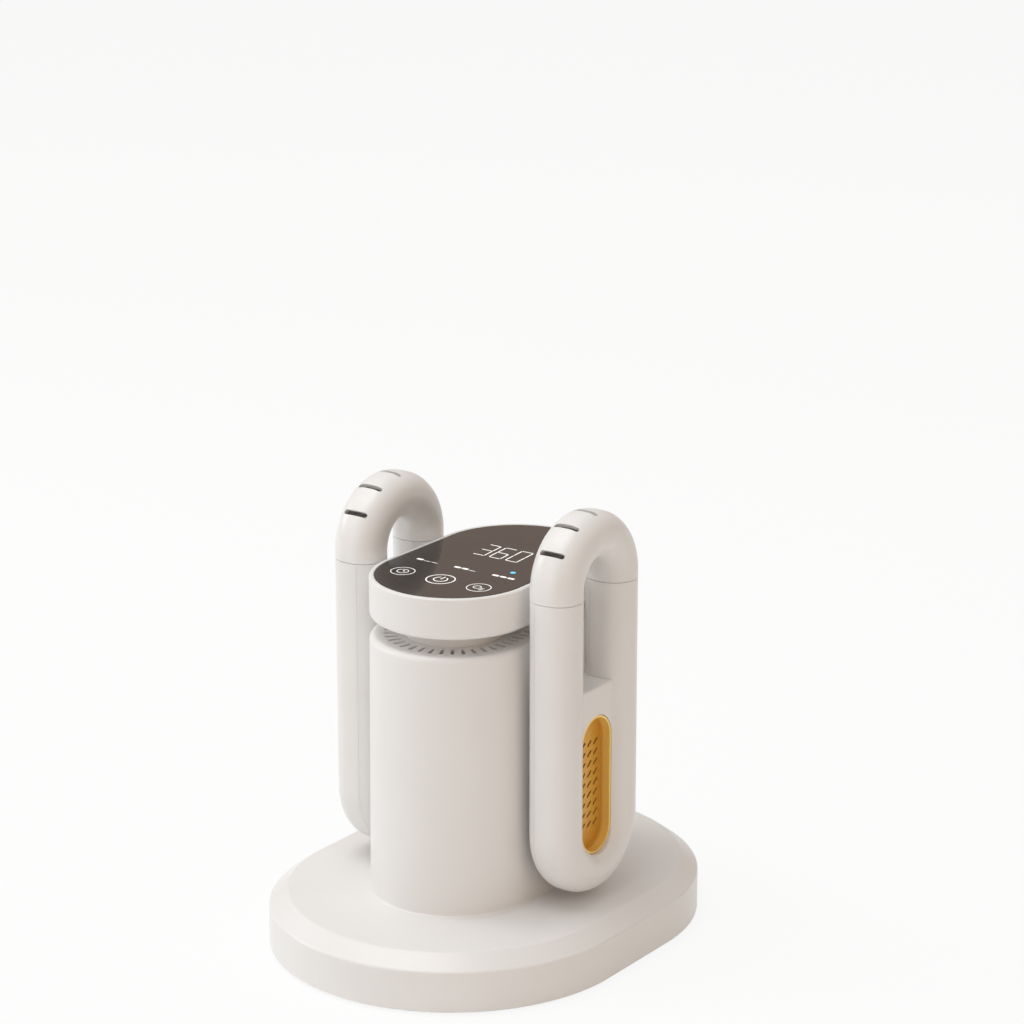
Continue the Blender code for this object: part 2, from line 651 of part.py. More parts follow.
def make_heater(parent):
    x, y = HEATER_SIZE[0] / 2, HEATER_SIZE[1] / 2
    top = HEATER_FOOT + HEATER_RISE
    inner_x, inner_y = x - HEATER_BORDER, y - HEATER_BORDER
    frame = piece("heater_frame", block(bmesh.new(), (-x, -y, HEATER_FOOT), (x, y, top)), black(), parent)
    window = block(bmesh.new(), (-inner_x, -inner_y, HEATER_FOOT - GAP), (inner_x, inner_y, top + GAP))
    combine(frame, window, "DIFFERENCE", parent)
    core_x, core_y = inner_x - GAP, inner_y - GAP
    core = piece("heater_core", block(bmesh.new(), (-core_x, -core_y, HEATER_FOOT + GAP), (core_x, core_y, top - GAP)),
                 aluminium(), parent)
    channels = bmesh.new()
    edge = core_x - FIN_BAR / 2
    for row in range(FIN_ROWS):
        y_mid = (row - (FIN_ROWS - 1) / 2) * FIN_PITCH
        for low, high in ((-edge, -FIN_BAR / 2), (FIN_BAR / 2, edge)):
            block(channels, (low, y_mid - FIN_WIDTH / 2, HEATER_FOOT - GAP), (high, y_mid + FIN_WIDTH / 2, top + GAP))
    combine(core, channels, "DIFFERENCE", parent)
    middle = HEATER_FOOT + HEATER_RISE / 2
    cutout = rod(bmesh.new(), CUTOUT_RADIUS, (0, -y - GAP, middle), (0, -y - GAP - CUTOUT_THICK, middle))
    piece("thermal_cutout", cutout, steel(), parent)


def make_ozone_module(parent):
    wide, deep, tall = OZONE_SIZE
    near = MANIFOLD_SIZE[1] / 2 + GAP
    bm = block(bmesh.new(), (-wide / 2, near, SPOUT_Z - tall / 2), (wide / 2, near + deep, SPOUT_Z + tall / 2))
    bmesh.ops.bevel(bm, geom=bm.edges[:], offset=OZONE_SIZE[1] / 15, segments=1, affect="EDGES", profile=0.5)
    piece("ozone_module", bm, black(), parent)


def make_fan(parent):
    """Axial fan: frame with a strutted motor cup, motor, shaft and impeller on one axis."""
    axis = origin("fan_axis", (0.0, 0.0, FAN_FOOT), parent)
    half = FAN_SIDE / 2
    frame = piece("fan_frame", block(bmesh.new(), (-half, -half, 0), (half, half, FAN_RISE)), black(), axis)
    bore = rod(bmesh.new(), FAN_BORE, (0, 0, -GAP), (0, 0, FAN_RISE + GAP), 2 * PIPE_SIDES)
    combine(frame, bore, "DIFFERENCE", axis)
    spider = bmesh.new()
    spread = (half + FAN_BORE) / 2
    long_strut = block(bmesh.new(), (-spread, -STRUT_WIDTH / 2, GAP), (spread, STRUT_WIDTH / 2, STRUT_RISE))
    combine(frame, long_strut, "UNION", axis)
    cross_strut = block(bmesh.new(), (-STRUT_WIDTH / 2, -spread, GAP), (STRUT_WIDTH / 2, spread, STRUT_RISE))
    combine(frame, cross_strut, "UNION", axis)
    rod(spider, FAN_CUP, (0, 0, 2 * GAP), (0, 0, STRUT_RISE + GAP), PIPE_SIDES)
    combine(frame, spider, "UNION", axis)

    seat = STRUT_RISE + 2 * GAP
    bore_radius = SHAFT_RADIUS + GAP
    motor = turned_body([(bore_radius, seat), (MOTOR_RADIUS, seat), (MOTOR_RADIUS, seat + MOTOR_RISE),
                         (bore_radius, seat + MOTOR_RISE)], PIPE_SIDES)
    piece("fan_motor", motor, steel(), axis)

    hub_top = HUB_LIFT + HUB_RISE
    shaft = rod(bmesh.new(), SHAFT_RADIUS, (0, 0, seat + GAP), (0, 0, hub_top), PIPE_SIDES)
    piece("motor_shaft", shaft, steel(), axis)

    crown = hub_top - HUB_SKIN
    profile = [(bore_radius, crown), (HUB_RADIUS - HUB_SKIN, crown), (HUB_RADIUS - HUB_SKIN, HUB_LIFT),
               (HUB_RADIUS, HUB_LIFT), (HUB_RADIUS, hub_top - HUB_SKIN), (HUB_RADIUS - HUB_SKIN, hub_top),
               (bore_radius, hub_top)]
    impeller = piece("impeller", turned_body(profile, PIPE_SIDES), white(), axis)
    combine(impeller, blades(), "UNION", axis)


def blades():
    """Twisted blades: each lofts from a short steep root to a long flat tip."""
    bm = bmesh.new()
    middle = HUB_LIFT + HUB_RISE / 2
    stations = 2
    for index in range(BLADE_COUNT):
        turn = 2 * math.pi * index / BLADE_COUNT
        rings = []
        for station in range(stations + 1):
            share = station / stations
            reach = HUB_RADIUS - HUB_SKIN / 2 + share * (FAN_BORE - TIP_GAP - HUB_RADIUS + HUB_SKIN / 2)
            chord = BLADE_CHORD[0] + share * (BLADE_CHORD[1] - BLADE_CHORD[0])
            pitch = BLADE_PITCH[0] + share * (BLADE_PITCH[1] - BLADE_PITCH[0])
            section = []
            for along, thick in ((-0.5, 0.0), (-0.2, 0.5), (0.2, 0.5), (0.5, 0.0), (0.2, -0.5), (-0.2, -0.5)):
                camber = 0.10 * chord * (0.25 - along * along)
                flat = along * chord
                lift = camber + thick * BLADE_THICK
                sweep = turn + (flat * math.cos(pitch) - lift * math.sin(pitch)) / reach
                height = middle + flat * math.sin(pitch) + lift * math.cos(pitch)
                section.append((reach * math.cos(sweep), reach * math.sin(sweep), height))
            rings.append(section)
        loft(bm, rings)
    return bm


def harness_route():
    """The wires' way from the head board through the neck, past the fan and to the power board."""
    middle = (BASE_TOP + MANIFOLD_FOOT) / 2
    fan = FAN_SIDE / 2
    wall = CHASSIS_SIZE[1] / 2
    # share of the offset, what the wires pass, share of the lane, height
    stations = ((0.25, fan, 0.0, BOARD_TOP - BOARD_THICK - GAP), (0.25, fan, 0.4, HEAD_FOOT),
                (0.33, fan, 0.7, COLUMN_TOP), (0.75, fan, 1.0, FAN_FOOT + FAN_RISE), (1.0, fan, 1.0, HEATER_FOOT),
                (1.0, fan, 0.9, SPOUT_Z), (0.9, wall, 1.3, MANIFOLD_FOOT), (0.5, wall, 0.8, middle + 1.3 * WIRE_LANE),
                (0.375, wall, -0.3, middle + 0.3 * WIRE_LANE), (0.625, wall, -1.1, middle))
    route = [(-share * WIRE_OFFSET, passed + lane * WIRE_LANE, height) for share, passed, lane, height in stations]
    return route + [(board_face() + GAP, wall - 1.2 * WIRE_LANE, middle)]


def make_wire_harness(parent):
    curve = bpy.data.curves.new("wire_harness", "CURVE")
    curve.dimensions = "3D"
    curve.bevel_depth = WIRE_RADIUS
    curve.bevel_resolution = 2
    curve.use_fill_caps = True
    route = [Vector(point) for point in harness_route()]
    smooth = []
    for i in range(len(route) - 1):
        before = route[max(i - 1, 0)]
        after = route[min(i + 2, len(route) - 1)]
        for step in range(WIRE_STEPS):
            smooth.append(between(before, route[i], route[i + 1], after, step / WIRE_STEPS))
    smooth.append(route[-1])
    spline = curve.splines.new("POLY")
    spline.points.add(len(smooth) - 1)
    for point, place in zip(spline.points, smooth):
        point.co = (*place, 1.0)
    curve.materials.append(black())
    obj = bpy.data.objects.new("wire_harness", curve)
    obj.parent = parent
    bpy.context.scene.collection.objects.link(obj)


def between(p0, p1, p2, p3, t):
    """A point on the smooth curve through p1 and p2."""
    return 0.5 * ((2 * p1) + (p2 - p0) * t + (2 * p0 - 5 * p1 + 4 * p2 - p3) * t ** 2
                  + (3 * p1 - p0 - 3 * p2 + p3) * t ** 3)


# Neck and head

def make_neck_tube(parent):
    inner = NECK_RADIUS - NECK_SKIN
    flange_top = COLUMN_TOP - GRILLE_THICK - GAP
    head_flange = HEAD_FLOOR + GAP
    top = head_flange + NECK_FLANGE_THICK
    foot_radius = NECK_RADIUS + NECK_FOOT_FLANGE
    head_radius = NECK_RADIUS + NECK_HEAD_FLANGE
    profile = [(inner, flange_top - NECK_FLANGE_THICK), (foot_radius, flange_top - NECK_FLANGE_THICK),
               (foot_radius, flange_top), (NECK_RADIUS, flange_top), (NECK_RADIUS, head_flange),
               (head_radius, head_flange), (head_radius, top), (inner, top)]
    return piece("neck_tube", stadium_body(profile, COLUMN_RUN, COARSE), white(), parent)


def make_head_housing(parent):
    inner = COLUMN_RADIUS - HEAD_SKIN
    glass_edge = COLUMN_RADIUS - GLASS_INSET + GAP
    ledge = glass_edge - GLASS_LEDGE
    ledge_top = GLASS_FOOT - GAP
    bottom = arc((COLUMN_RADIUS - HEAD_FOOT_ROUND, HEAD_FOOT + HEAD_FOOT_ROUND), HEAD_FOOT_ROUND, 270, 360, 4)
    rim = arc((COLUMN_RADIUS - HEAD_RIM_ROUND, HEAD_TOP - HEAD_RIM_ROUND), HEAD_RIM_ROUND, 0, 90, 2)
    profile = [(NECK_RADIUS + GAP, HEAD_FOOT)] + bottom + rim + [
        (glass_edge, HEAD_TOP), (glass_edge, ledge_top), (ledge, ledge_top), (ledge, ledge_top - HEAD_SKIN / 2),
        (inner, ledge_top - HEAD_SKIN), (inner, HEAD_FOOT + HEAD_FOOT_ROUND), (inner - HEAD_SKIN, HEAD_FLOOR),
        (NECK_RADIUS + GAP, HEAD_FLOOR)]
    obj = piece("head_housing", stadium_body(profile, COLUMN_RUN, MEDIUM), white(), parent)
    posts = bmesh.new()
    for x, y in board_post_places():
        rod(posts, BOARD_POST, (x, y, HEAD_FOOT + HEAD_SKIN / 2), (x, y, BOARD_TOP - BOARD_THICK - GAP), SCREW_SIDES)
    combine(obj, posts, "UNION", parent)
    return obj


def board_post_places():
    track = NECK_RADIUS + NECK_HEAD_FLANGE + GAP + BOARD_POST
    return around_stadium(track, COLUMN_RUN, (math.radians(20), math.radians(160)))


def make_head_parts(parent):
    board = stadium_body([(BOARD_RADIUS + BOARD_POST, BOARD_TOP - BOARD_THICK), (BOARD_RADIUS + BOARD_POST, BOARD_TOP)],
                         COLUMN_RUN, COARSE, False)
    piece("head_board", board, circuit(), parent)
    seat = BOARD_TOP + GAP
    wide, long = DISPLAY_SIZE[0] / 2, DISPLAY_SIZE[1] / 2
    display = block(bmesh.new(), (-wide, DISPLAY_LINE - long, seat), (wide, DISPLAY_LINE + long, seat + DISPLAY_THICK))
    piece("digit_display", display, milky(), parent)
    for label, column in (("left", -1), ("middle", 0), ("right", 1)):
        x = column * PAD_SPACING
        pad = rod(bmesh.new(), PAD_RADIUS, (x, PAD_LINE, seat), (x, PAD_LINE, GLASS_FOOT - GAP))
        piece(f"touch_pad_{label}", pad, black(), parent)
    radius = COLUMN_RADIUS - GLASS_INSET
    glass = stadium_body([(radius, GLASS_FOOT), (radius, HEAD_TOP)], COLUMN_RUN, MEDIUM, False)
    piece("touch_glass", glass, finish("black_glass", (0.012, 0.010, 0.011), 0.06), parent)


# Arms, in the frame of the arm's middle plane: X points away from the column

def loop_ring(depth, width, angle, lift=0.0, centre=0.0, steps=LIMB_STEPS):
    """The limb's rounded section where the loop has turned by an angle from the back limb."""
    round_radius = width / 2
    flat = depth / 2 - round_radius
    outline = arc((flat, 0.0), round_radius, 90, -90, steps) + arc((-flat, 0.0), round_radius, -90, -270, steps)
    ring = []
    for x, across in outline:
        reach = LOOP_TRACK + across
        ring.append((x, reach * math.cos(angle), centre + lift + reach * math.sin(angle)))
    return ring


def u_tube(depth, width, mouth, steps=BEND_STEPS):
    """The lower loop as a solid: down one limb, round the bend and up the other."""
    rings = [loop_ring(depth, width, 0.0, mouth - LOOP_Z, LOOP_Z)]
    rings += [loop_ring(depth, width, -math.pi * i / steps, 0.0, LOOP_Z) for i in range(steps + 1)]
    rings.append(loop_ring(depth, width, -math.pi, mouth - LOOP_Z, LOOP_Z))
    return loft(bmesh.new(), rings)


def tongue(radius, low_x, high_x, top, bm=None):
    """A flat-topped slab with a round foot, centred on the bend."""
    outline = arc((0.0, LOOP_Z), radius, 180, 360, BORE_STEPS) + [(radius, top), (-radius, top)]
    rings = [[(x, y, z) for y, z in outline] for x in (low_x, high_x)]
    return loft(bm or bmesh.new(), rings)


def dish_slab(radius, low_x, high_x, bm=None):
    """A stadium slab standing on edge, where the gold dish goes."""
    upper = arc((0.0, DISH_Z + DISH_RISE), radius, 0, 180, BEND_STEPS)
    lower = arc((0.0, DISH_Z), radius, 180, 360, BEND_STEPS)
    rings = [[(x, y, z) for y, z in upper + lower] for x in (low_x, high_x)]
    return loft(bm or bmesh.new(), rings)


def bore_reach(across):
    """Half the limb bore's depth, that far from its middle line."""
    round_radius = BORE_WIDTH / 2
    return BORE_DEPTH / 2 - round_radius + math.sqrt(round_radius ** 2 - across ** 2)


def arm_screw_places():
    """(y, z, x of the back face, x inside the front wall) of each screw."""
    places = []
    for angle in ARM_SCREW_ANGLES:
        y = LOOP_TRACK * math.cos(angle)
        z = LOOP_Z + LOOP_TRACK * math.sin(angle)
        places.append((y, z, -ARM_DEPTH / 2, ARM_DEPTH / 2 - ARM_SKIN / 2))
    return places


def arm_body(name, parent, side):
    """The whole arm before it is parted: loop and web, hollow inside, with the dish's opening."""
    obj = piece(name, u_tube(ARM_DEPTH, LIMB_WIDTH, LIMB_MOUTH), white(), parent, side=side)
    web_top = LOOP_Z + WEB_RISE
    combine(obj, tongue(WEB_RADIUS, WEB_BACK, WEB_FRONT, web_top), "UNION", parent, side=side)
    bore = u_tube(BORE_DEPTH, BORE_WIDTH, LIMB_MOUTH + ARM_SKIN, BORE_STEPS)
    combine(obj, bore, "DIFFERENCE", parent, side=side)
    plenum = tongue(WEB_RADIUS - ARM_SKIN - LEG_SKIN, WEB_BACK + ARM_SKIN, WEB_FRONT - ARM_SKIN, web_top - ARM_SKIN)
    combine(obj, plenum, "DIFFERENCE", parent, side=side)
    opening = dish_slab(DISH_RADIUS + GAP, WEB_FRONT - 2 * ARM_SKIN, WEB_FRONT + ARM_DEPTH)
    combine(obj, opening, "DIFFERENCE", parent, side=side)
    return obj


def half_space(low_x, high_x):
    """A box that covers the arm between two X planes."""
    return block(bmesh.new(), (low_x, -2 * LOOP_RADIUS, 0.0), (high_x, 2 * LOOP_RADIUS, LIMB_MOUTH + LOOP_RADIUS))


def make_arm_shell(label, parent, side):
    obj = arm_body(f"arm_{label}_shell", parent, side)
    combine(obj, half_space(-ARM_DEPTH, ARM_SPLIT + GAP / 2), "DIFFERENCE", parent, side=side)
    bosses = bmesh.new()
    holes = bmesh.new()
    boss = SCREW_SHANK + SCREW_GAP + ARM_BOSS_WALL
    for y, z, back, front in arm_screw_places():
        rod(bosses, boss, (2 * GAP - bore_reach(boss), y, z), (front, y, z), SCREW_SIDES)
        rod(holes, SCREW_SHANK + SCREW_GAP, (back, y, z), (back + COUNTERSINK + SCREW_REACH + GAP, y, z), SCREW_SIDES)
    combine(obj, bosses, "UNION", parent, side=side)
    combine(obj, holes, "DIFFERENCE", parent, side=side)
    return obj


def make_arm_back(label, parent, side):
    obj = arm_body(f"arm_{label}_back", parent, side)
    combine(obj, half_space(ARM_SPLIT - GAP / 2, ARM_DEPTH), "DIFFERENCE", parent, side=side)
    holes = bmesh.new()
    rod(holes, SPOUT_RADIUS + GAP, (-ARM_DEPTH, 0, SPOUT_Z), (ARM_SPLIT, 0, SPOUT_Z), PIPE_SIDES)
    for y, z, back, front in arm_screw_places():
        shoulder = back + COUNTERSINK
        rings = []
        for radius, x in ((SCREW_HEAD + SCREW_GAP, back - ARM_SKIN), (SCREW_HEAD + SCREW_GAP, shoulder),
                          (SCREW_SHANK + SCREW_GAP, shoulder), (SCREW_SHANK + SCREW_GAP, front)):
            turns = [2 * math.pi * i / SCREW_SIDES for i in range(SCREW_SIDES)]
            rings.append([(x, y + radius * math.cos(t), z + radius * math.sin(t)) for t in turns])
        loft(holes, rings)
    combine(obj, holes, "DIFFERENCE", parent, side=side)
    return obj


def make_arm_screws(label, parent, side):
    for end, (y, z, back, _) in zip(("back", "front"), arm_screw_places()):
        seat = side * (back + COUNTERSINK - GAP - SCREW_HEAD_THICK)
        piece(f"arm_{label}_screw_{end}", screw((1, 0, 0)), steel(), parent, (seat, y, z), side)


def make_arm_grille(label, parent, side):
    """The gold dish: a stadium pan with rows of slanted vents in its floor."""
    front = WEB_FRONT - GAP
    floor = front - DISH_DEPTH
    obj = piece(f"arm_{label}_grille", dish_slab(DISH_RADIUS, floor, front), gold(), parent, side=side)
    pan = dish_slab(DISH_RADIUS - DISH_SKIN, floor + DISH_SKIN, front + DISH_SKIN)
    combine(obj, pan, "DIFFERENCE", parent, side=side)
    vents = bmesh.new()
    for row in range(VENT_ROWS):
        for column in range(VENT_COLUMNS):
            y = (column - (VENT_COLUMNS - 1) / 2) * VENT_PITCH[0]
            z = DISH_Z + row * VENT_PITCH[1]
            start = len(vents.verts)
            block(vents, (floor - DISH_SKIN, -VENT_LENGTH / 2, -VENT_WIDTH / 2),
                  (floor + 2 * DISH_SKIN, VENT_LENGTH / 2, VENT_WIDTH / 2))
            vents.verts.ensure_lookup_table()
            turn = Matrix.Translation((0, y, z)) @ Matrix.Rotation(VENT_TILT, 4, "X")
            bmesh.ops.transform(vents, matrix=turn, verts=vents.verts[start:])
    combine(obj, vents, "DIFFERENCE", parent, side=side)
    return obj


def make_collars(label, parent, side):
    top = LIMB_MOUTH - GAP
    foot = top - HOOP_COLLAR_RISE
    for end, angle in (("back", 0.0), ("front", math.pi)):
        outer = (BORE_DEPTH - 2 * GAP, BORE_WIDTH - 2 * GAP)
        inner = (LEG_DEPTH + 2 * SLIDE_GAP, LEG_WIDTH + 2 * SLIDE_GAP)
        rings = [loop_ring(*outer, angle, foot), loop_ring(*outer, angle, top),
                 loop_ring(*inner, angle, top), loop_ring(*inner, angle, foot)]
        piece(f"arm_{label}_collar_{end}", loft(bmesh.new(), rings, True), black(), parent, side=side)


def make_hoop(label, parent, side):
    """The sliding hoop: two tubular legs with stop feet under a slotted arch. Its origin is at the limbs' mouth."""
    lift = origin(f"hoop_{label}_slide", (0.0, 0.0, LIMB_MOUTH), parent)
    centre = ARCH_Z - LIMB_MOUTH
    seat = GAP
    foot = (BORE_DEPTH - 2 * LEG_FOOT_GAP, BORE_WIDTH - 2 * LEG_FOOT_GAP)
    leg = (LEG_DEPTH, LEG_WIDTH)
    leg_bore = (LEG_DEPTH - 2 * LEG_SKIN, LEG_WIDTH - 2 * LEG_SKIN)
    arch = (ARM_DEPTH, LIMB_WIDTH)
    arch_bore = (ARM_DEPTH - 2 * ARCH_SKIN, LIMB_WIDTH - 2 * ARCH_SKIN)
    outside = [(foot, -LEG_REACH), (foot, -LEG_REACH + LEG_FOOT_RISE), (leg, -LEG_REACH + LEG_FOOT_RISE),
               (leg, seat), (arch, seat)]
    inside = [(arch_bore, seat + ARCH_SKIN), (leg_bore, seat + ARCH_SKIN), (leg_bore, -LEG_REACH)]
    rings = [loop_ring(*size, 0.0, height) for size, height in outside]
    rings += [loop_ring(*arch, math.pi * i / BEND_STEPS, 0.0, centre) for i in range(BEND_STEPS + 1)]
    rings += [loop_ring(*size, math.pi, height) for size, height in reversed(outside)]
    rings += [loop_ring(*size, math.pi, height) for size, height in reversed(inside)]
    rings += [loop_ring(*arch_bore, math.pi * (1 - i / BORE_STEPS), 0.0, centre) for i in range(BORE_STEPS + 1)]
    rings += [loop_ring(*size, 0.0, height) for size, height in inside]
    obj = piece(f"arm_{label}_hoop", loft(bmesh.new(), rings, True), white(), lift, side=side)
    slots = bmesh.new()
    reach = LOOP_RADIUS + ARCH_SKIN
    half_depth = ARM_DEPTH / 2 - HOOP_SLOT_MARGIN
    for index in range(HOOP_SLOTS):
        turn = (index / (HOOP_SLOTS - 1) - 0.5) * HOOP_SLOT_SWEEP
        start = len(slots.verts)
        block(slots, (-half_depth, -HOOP_SLOT_WIDTH / 2, LOOP_TRACK), (half_depth, HOOP_SLOT_WIDTH / 2, reach))
        slots.verts.ensure_lookup_table()
        place = Matrix.Translation((0, 0, centre)) @ Matrix.Rotation(turn, 4, "X")
        bmesh.ops.transform(slots, matrix=place, verts=slots.verts[start:])
    combine(obj, slots, "DIFFERENCE", lift, side=side)
    return obj


def make_arm_mount(label, parent, side):
    """Spigot that carries the arm and its air, with the seal between its flange and the column."""
    column = -ARM_DEPTH / 2 - ARM_GAP
    seal_face = column + GAP + SEAL_THICK
    flange_back = seal_face + GAP
    flange_front = -ARM_DEPTH / 2 - GAP
    inner_end = column - COLUMN_SKIN - (COLUMN_INNER - MANIFOLD_SIZE[0] / 2)
    outer_end = WEB_BACK + ARM_SKIN + SPOUT_SKIN
    bore = SPOUT_RADIUS - SPOUT_SKIN
    outline = [(bore, inner_end), (SPOUT_RADIUS, inner_end), (SPOUT_RADIUS, flange_back), (SPOUT_FLANGE, flange_back),
               (SPOUT_FLANGE, flange_front), (SPOUT_RADIUS, flange_front), (SPOUT_RADIUS, outer_end), (bore, outer_end)]
    seal = [(SPOUT_RADIUS + GAP, column + GAP), (SPOUT_FLANGE, column + GAP), (SPOUT_FLANGE, seal_face),
            (SPOUT_RADIUS + GAP, seal_face)]
    for name, profile, material in ((f"arm_{label}_mount", outline, grey()), (f"arm_{label}_seal", seal, rubber())):
        rings = []
        for radius, x in profile:
            turns = [2 * math.pi * i / PIPE_SIDES for i in range(PIPE_SIDES)]
            rings.append([(x, radius * math.cos(t), SPOUT_Z + radius * math.sin(t)) for t in turns])
        piece(name, loft(bmesh.new(), rings, True), material, parent, side=side)


def make_arm(label, side, parent):
    place = origin(f"arm_{label}_middle", (side * ARM_X, 0.0, 0.0), parent)
    make_arm_shell(label, place, side)
    make_arm_back(label, place, side)
    make_arm_screws(label, place, side)
    make_arm_grille(label, place, side)
    make_collars(label, place, side)
    make_hoop(label, place, side)
    make_arm_mount(label, place, side)


def main():
    clear_scene()
    dryer = origin("dryer")
    make_base_cover(dryer)
    make_base_plate(dryer)
    make_ballast(dryer)
    make_feet(dryer)
    make_base_screws(dryer)
    make_cord_gland(dryer)
    make_column_shell(dryer)
    make_intake_grille(dryer)
    make_chassis(dryer)
    make_power_board(dryer)
    make_manifold(dryer)
    make_heater(dryer)
    make_ozone_module(dryer)
    make_fan(dryer)
    make_neck_tube(dryer)
    make_head_housing(dryer)
    make_head_parts(dryer)
    make_wire_harness(dryer)
    for label, side in SIDES:
        make_arm(label, side, dryer)
    bpy.context.view_layer.update()


main()
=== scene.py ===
"""Electric shoe dryer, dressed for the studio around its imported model.

The solids come from the frame, in metres, +Z up, with the panel's reader at -Y. The shells, the arms, the
gold dishes, the hoops and the touch panel are modelled here as smooth pieces that ride on the frame's bodies.
The pieces inside keep their solids and get a finish.
"""

import json
import logging
import math
from dataclasses import dataclass
from enum import Enum
from functools import lru_cache, reduce
from typing import Iterable, Sequence

import bmesh
import bpy
from mathutils import Matrix, Vector


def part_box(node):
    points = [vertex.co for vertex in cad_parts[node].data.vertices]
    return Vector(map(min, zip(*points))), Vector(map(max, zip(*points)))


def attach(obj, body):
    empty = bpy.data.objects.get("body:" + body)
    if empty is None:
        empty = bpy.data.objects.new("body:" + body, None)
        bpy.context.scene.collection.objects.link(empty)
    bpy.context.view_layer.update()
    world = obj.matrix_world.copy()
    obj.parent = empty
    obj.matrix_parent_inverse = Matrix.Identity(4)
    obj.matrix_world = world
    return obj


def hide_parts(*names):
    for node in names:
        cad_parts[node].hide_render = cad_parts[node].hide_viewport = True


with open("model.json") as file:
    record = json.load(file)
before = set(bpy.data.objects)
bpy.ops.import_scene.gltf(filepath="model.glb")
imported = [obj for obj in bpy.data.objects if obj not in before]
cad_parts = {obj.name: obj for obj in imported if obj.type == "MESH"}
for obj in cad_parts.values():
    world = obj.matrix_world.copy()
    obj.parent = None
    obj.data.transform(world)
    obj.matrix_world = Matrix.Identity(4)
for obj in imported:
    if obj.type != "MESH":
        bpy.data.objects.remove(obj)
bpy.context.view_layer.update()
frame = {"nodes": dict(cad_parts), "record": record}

LOG = logging.getLogger("shoe_dryer")

BMesh = bmesh.types.BMesh
BMEdge = bmesh.types.BMEdge
BMVert = bmesh.types.BMVert
Node = bpy.types.Node
NodeTree = bpy.types.NodeTree
Socket = bpy.types.NodeSocket
Sockets = bpy.types.NodeOutputs
Feed = dict[str | int, object]      # what a node's sockets get: values, or the sockets that feed them
Colour = tuple[float, float, float]
Point = tuple[float, float, float]
Place = tuple[float, float]

HOUSING = "housing"
SKIN = 0.0025           # wall of the large shells
LEDGE = 0.0022          # inside a shell, under a part that is let in
NECK_RADIUS = 0.0275
GAP = 0.0003            # between pieces that touch, as in the solids
ROUND_STEPS = 64        # of a shell's half circle
PIPE_STEPS = 64         # of a whole turn
BEND_STEPS = 40         # of a loop's half circle
CURL_STEPS = 48         # of a stroke on the glass
SLOT_STEPS = 24         # of a half circle in the arm's web and dish
MERGE = 1e-7            # points nearer than this are one
SHARP = math.radians(38.0)      # edges that turn by more stay sharp
FAR = 1.0               # past the whole dryer
FULL_TURN = 360.0
NODE_PITCH = 180.0      # between nodes, on screen
NO_WAY = (0.0, 0.0, 0.0)
LIE_FLAT = Matrix.Rotation(-math.pi / 2, 4, "X")     # from the XZ plane to the XY plane
ALONG_X = Matrix.Rotation(math.pi / 2, 4, "Y")       # from an upright axis to X
ALONG_Y = Matrix.Rotation(-math.pi / 2, 4, "X")      # from an upright axis to Y
STAND = Matrix(((0, 0, 1, 0), (1, 0, 0, 0), (0, 1, 0, 0), (0, 0, 0, 1)))   # on edge, thickness along X


class Operation(Enum):
    """How one solid changes another."""

    JOIN = "UNION"
    CUT = "DIFFERENCE"


class Slot(Enum):
    """The record's material slots."""

    WHITE = "white_plastic"
    GREY = "grey_plastic"
    GOLD = "amber_gold"
    STEEL = "zinc_steel"
    RUBBER = "rubber"
    BLACK = "black_plastic"
    BOARD = "circuit_board"
    ALUMINIUM = "aluminium"
    LIT = "lit_marks"
    GLASS = "panel_glass"


# Shapes

@dataclass(frozen=True)
class Corner:
    """A corner of a profile, and how far along its edges its rounding starts."""

    across: float
    up: float
    radius: float = 0.0
    steps: int = 4


Outline = Sequence[tuple]      # a corner's values, row by row


@dataclass(frozen=True)
class Box:
    """The box round one of the frame's solids."""

    low: Vector
    high: Vector

    @property
    def middle(self) -> Vector:
        """Its centre."""
        return (self.low + self.high) / 2

    @property
    def size(self) -> Vector:
        """Its lengths along X, Y and Z."""
        return self.high - self.low

    def place(self, **given: float) -> Matrix:
        """The move to its centre, or to the coordinates given instead."""
        return Matrix.Translation([given.get(axis, getattr(self.middle, axis)) for axis in "xyz"])


def box(node: str) -> Box:
    """Look a solid's box up in the frame."""
    return Box(*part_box(node))


def clean(shape: BMesh) -> BMesh:
    """Merge doubled points of a mesh that bounds a solid, turn every face outwards and return it."""
    bmesh.ops.remove_doubles(shape, verts=shape.verts, dist=MERGE)
    bmesh.ops.dissolve_degenerate(shape, edges=shape.edges, dist=MERGE / 10)
    bmesh.ops.recalc_face_normals(shape, faces=shape.faces)
    return shape


def bevel(shape: BMesh, geom: list, width: float, steps: int, affect: str = "VERTICES") -> None:
    """Round corners or edges of a mesh."""
    bmesh.ops.bevel(shape, geom=geom, offset=width, offset_type="OFFSET", segments=steps, profile=0.5,
                    affect=affect, material=-1)


def trace(shape: BMesh, outline: Outline, closed: bool = True) -> list[BMEdge]:
    """Draw a profile in the XZ plane of an empty mesh and round its corners.

    Args:
        shape: an empty mesh.
        outline: the profile's corners, in order.
        closed: whether the last corner joins the first.

    Returns:
        The profile's edges.
    """
    corners = [Corner(*row) for row in outline]
    points = [shape.verts.new((corner.across, 0.0, corner.up)) for corner in corners]
    for pair in zip(points, points[1:] + points[:1] if closed else points[1:]):
        shape.edges.new(pair)
    for point, corner in zip(points, corners):
        if corner.radius:
            bevel(shape, [point], corner.radius, corner.steps)
    return list(shape.edges)


def shift(shape: BMesh, made: list, way: Point) -> list[BMVert]:
    """Move the points of freshly made geometry and return them."""
    points = [item for item in made if isinstance(item, BMVert)]
    bmesh.ops.translate(shape, vec=way, verts=points)
    return points


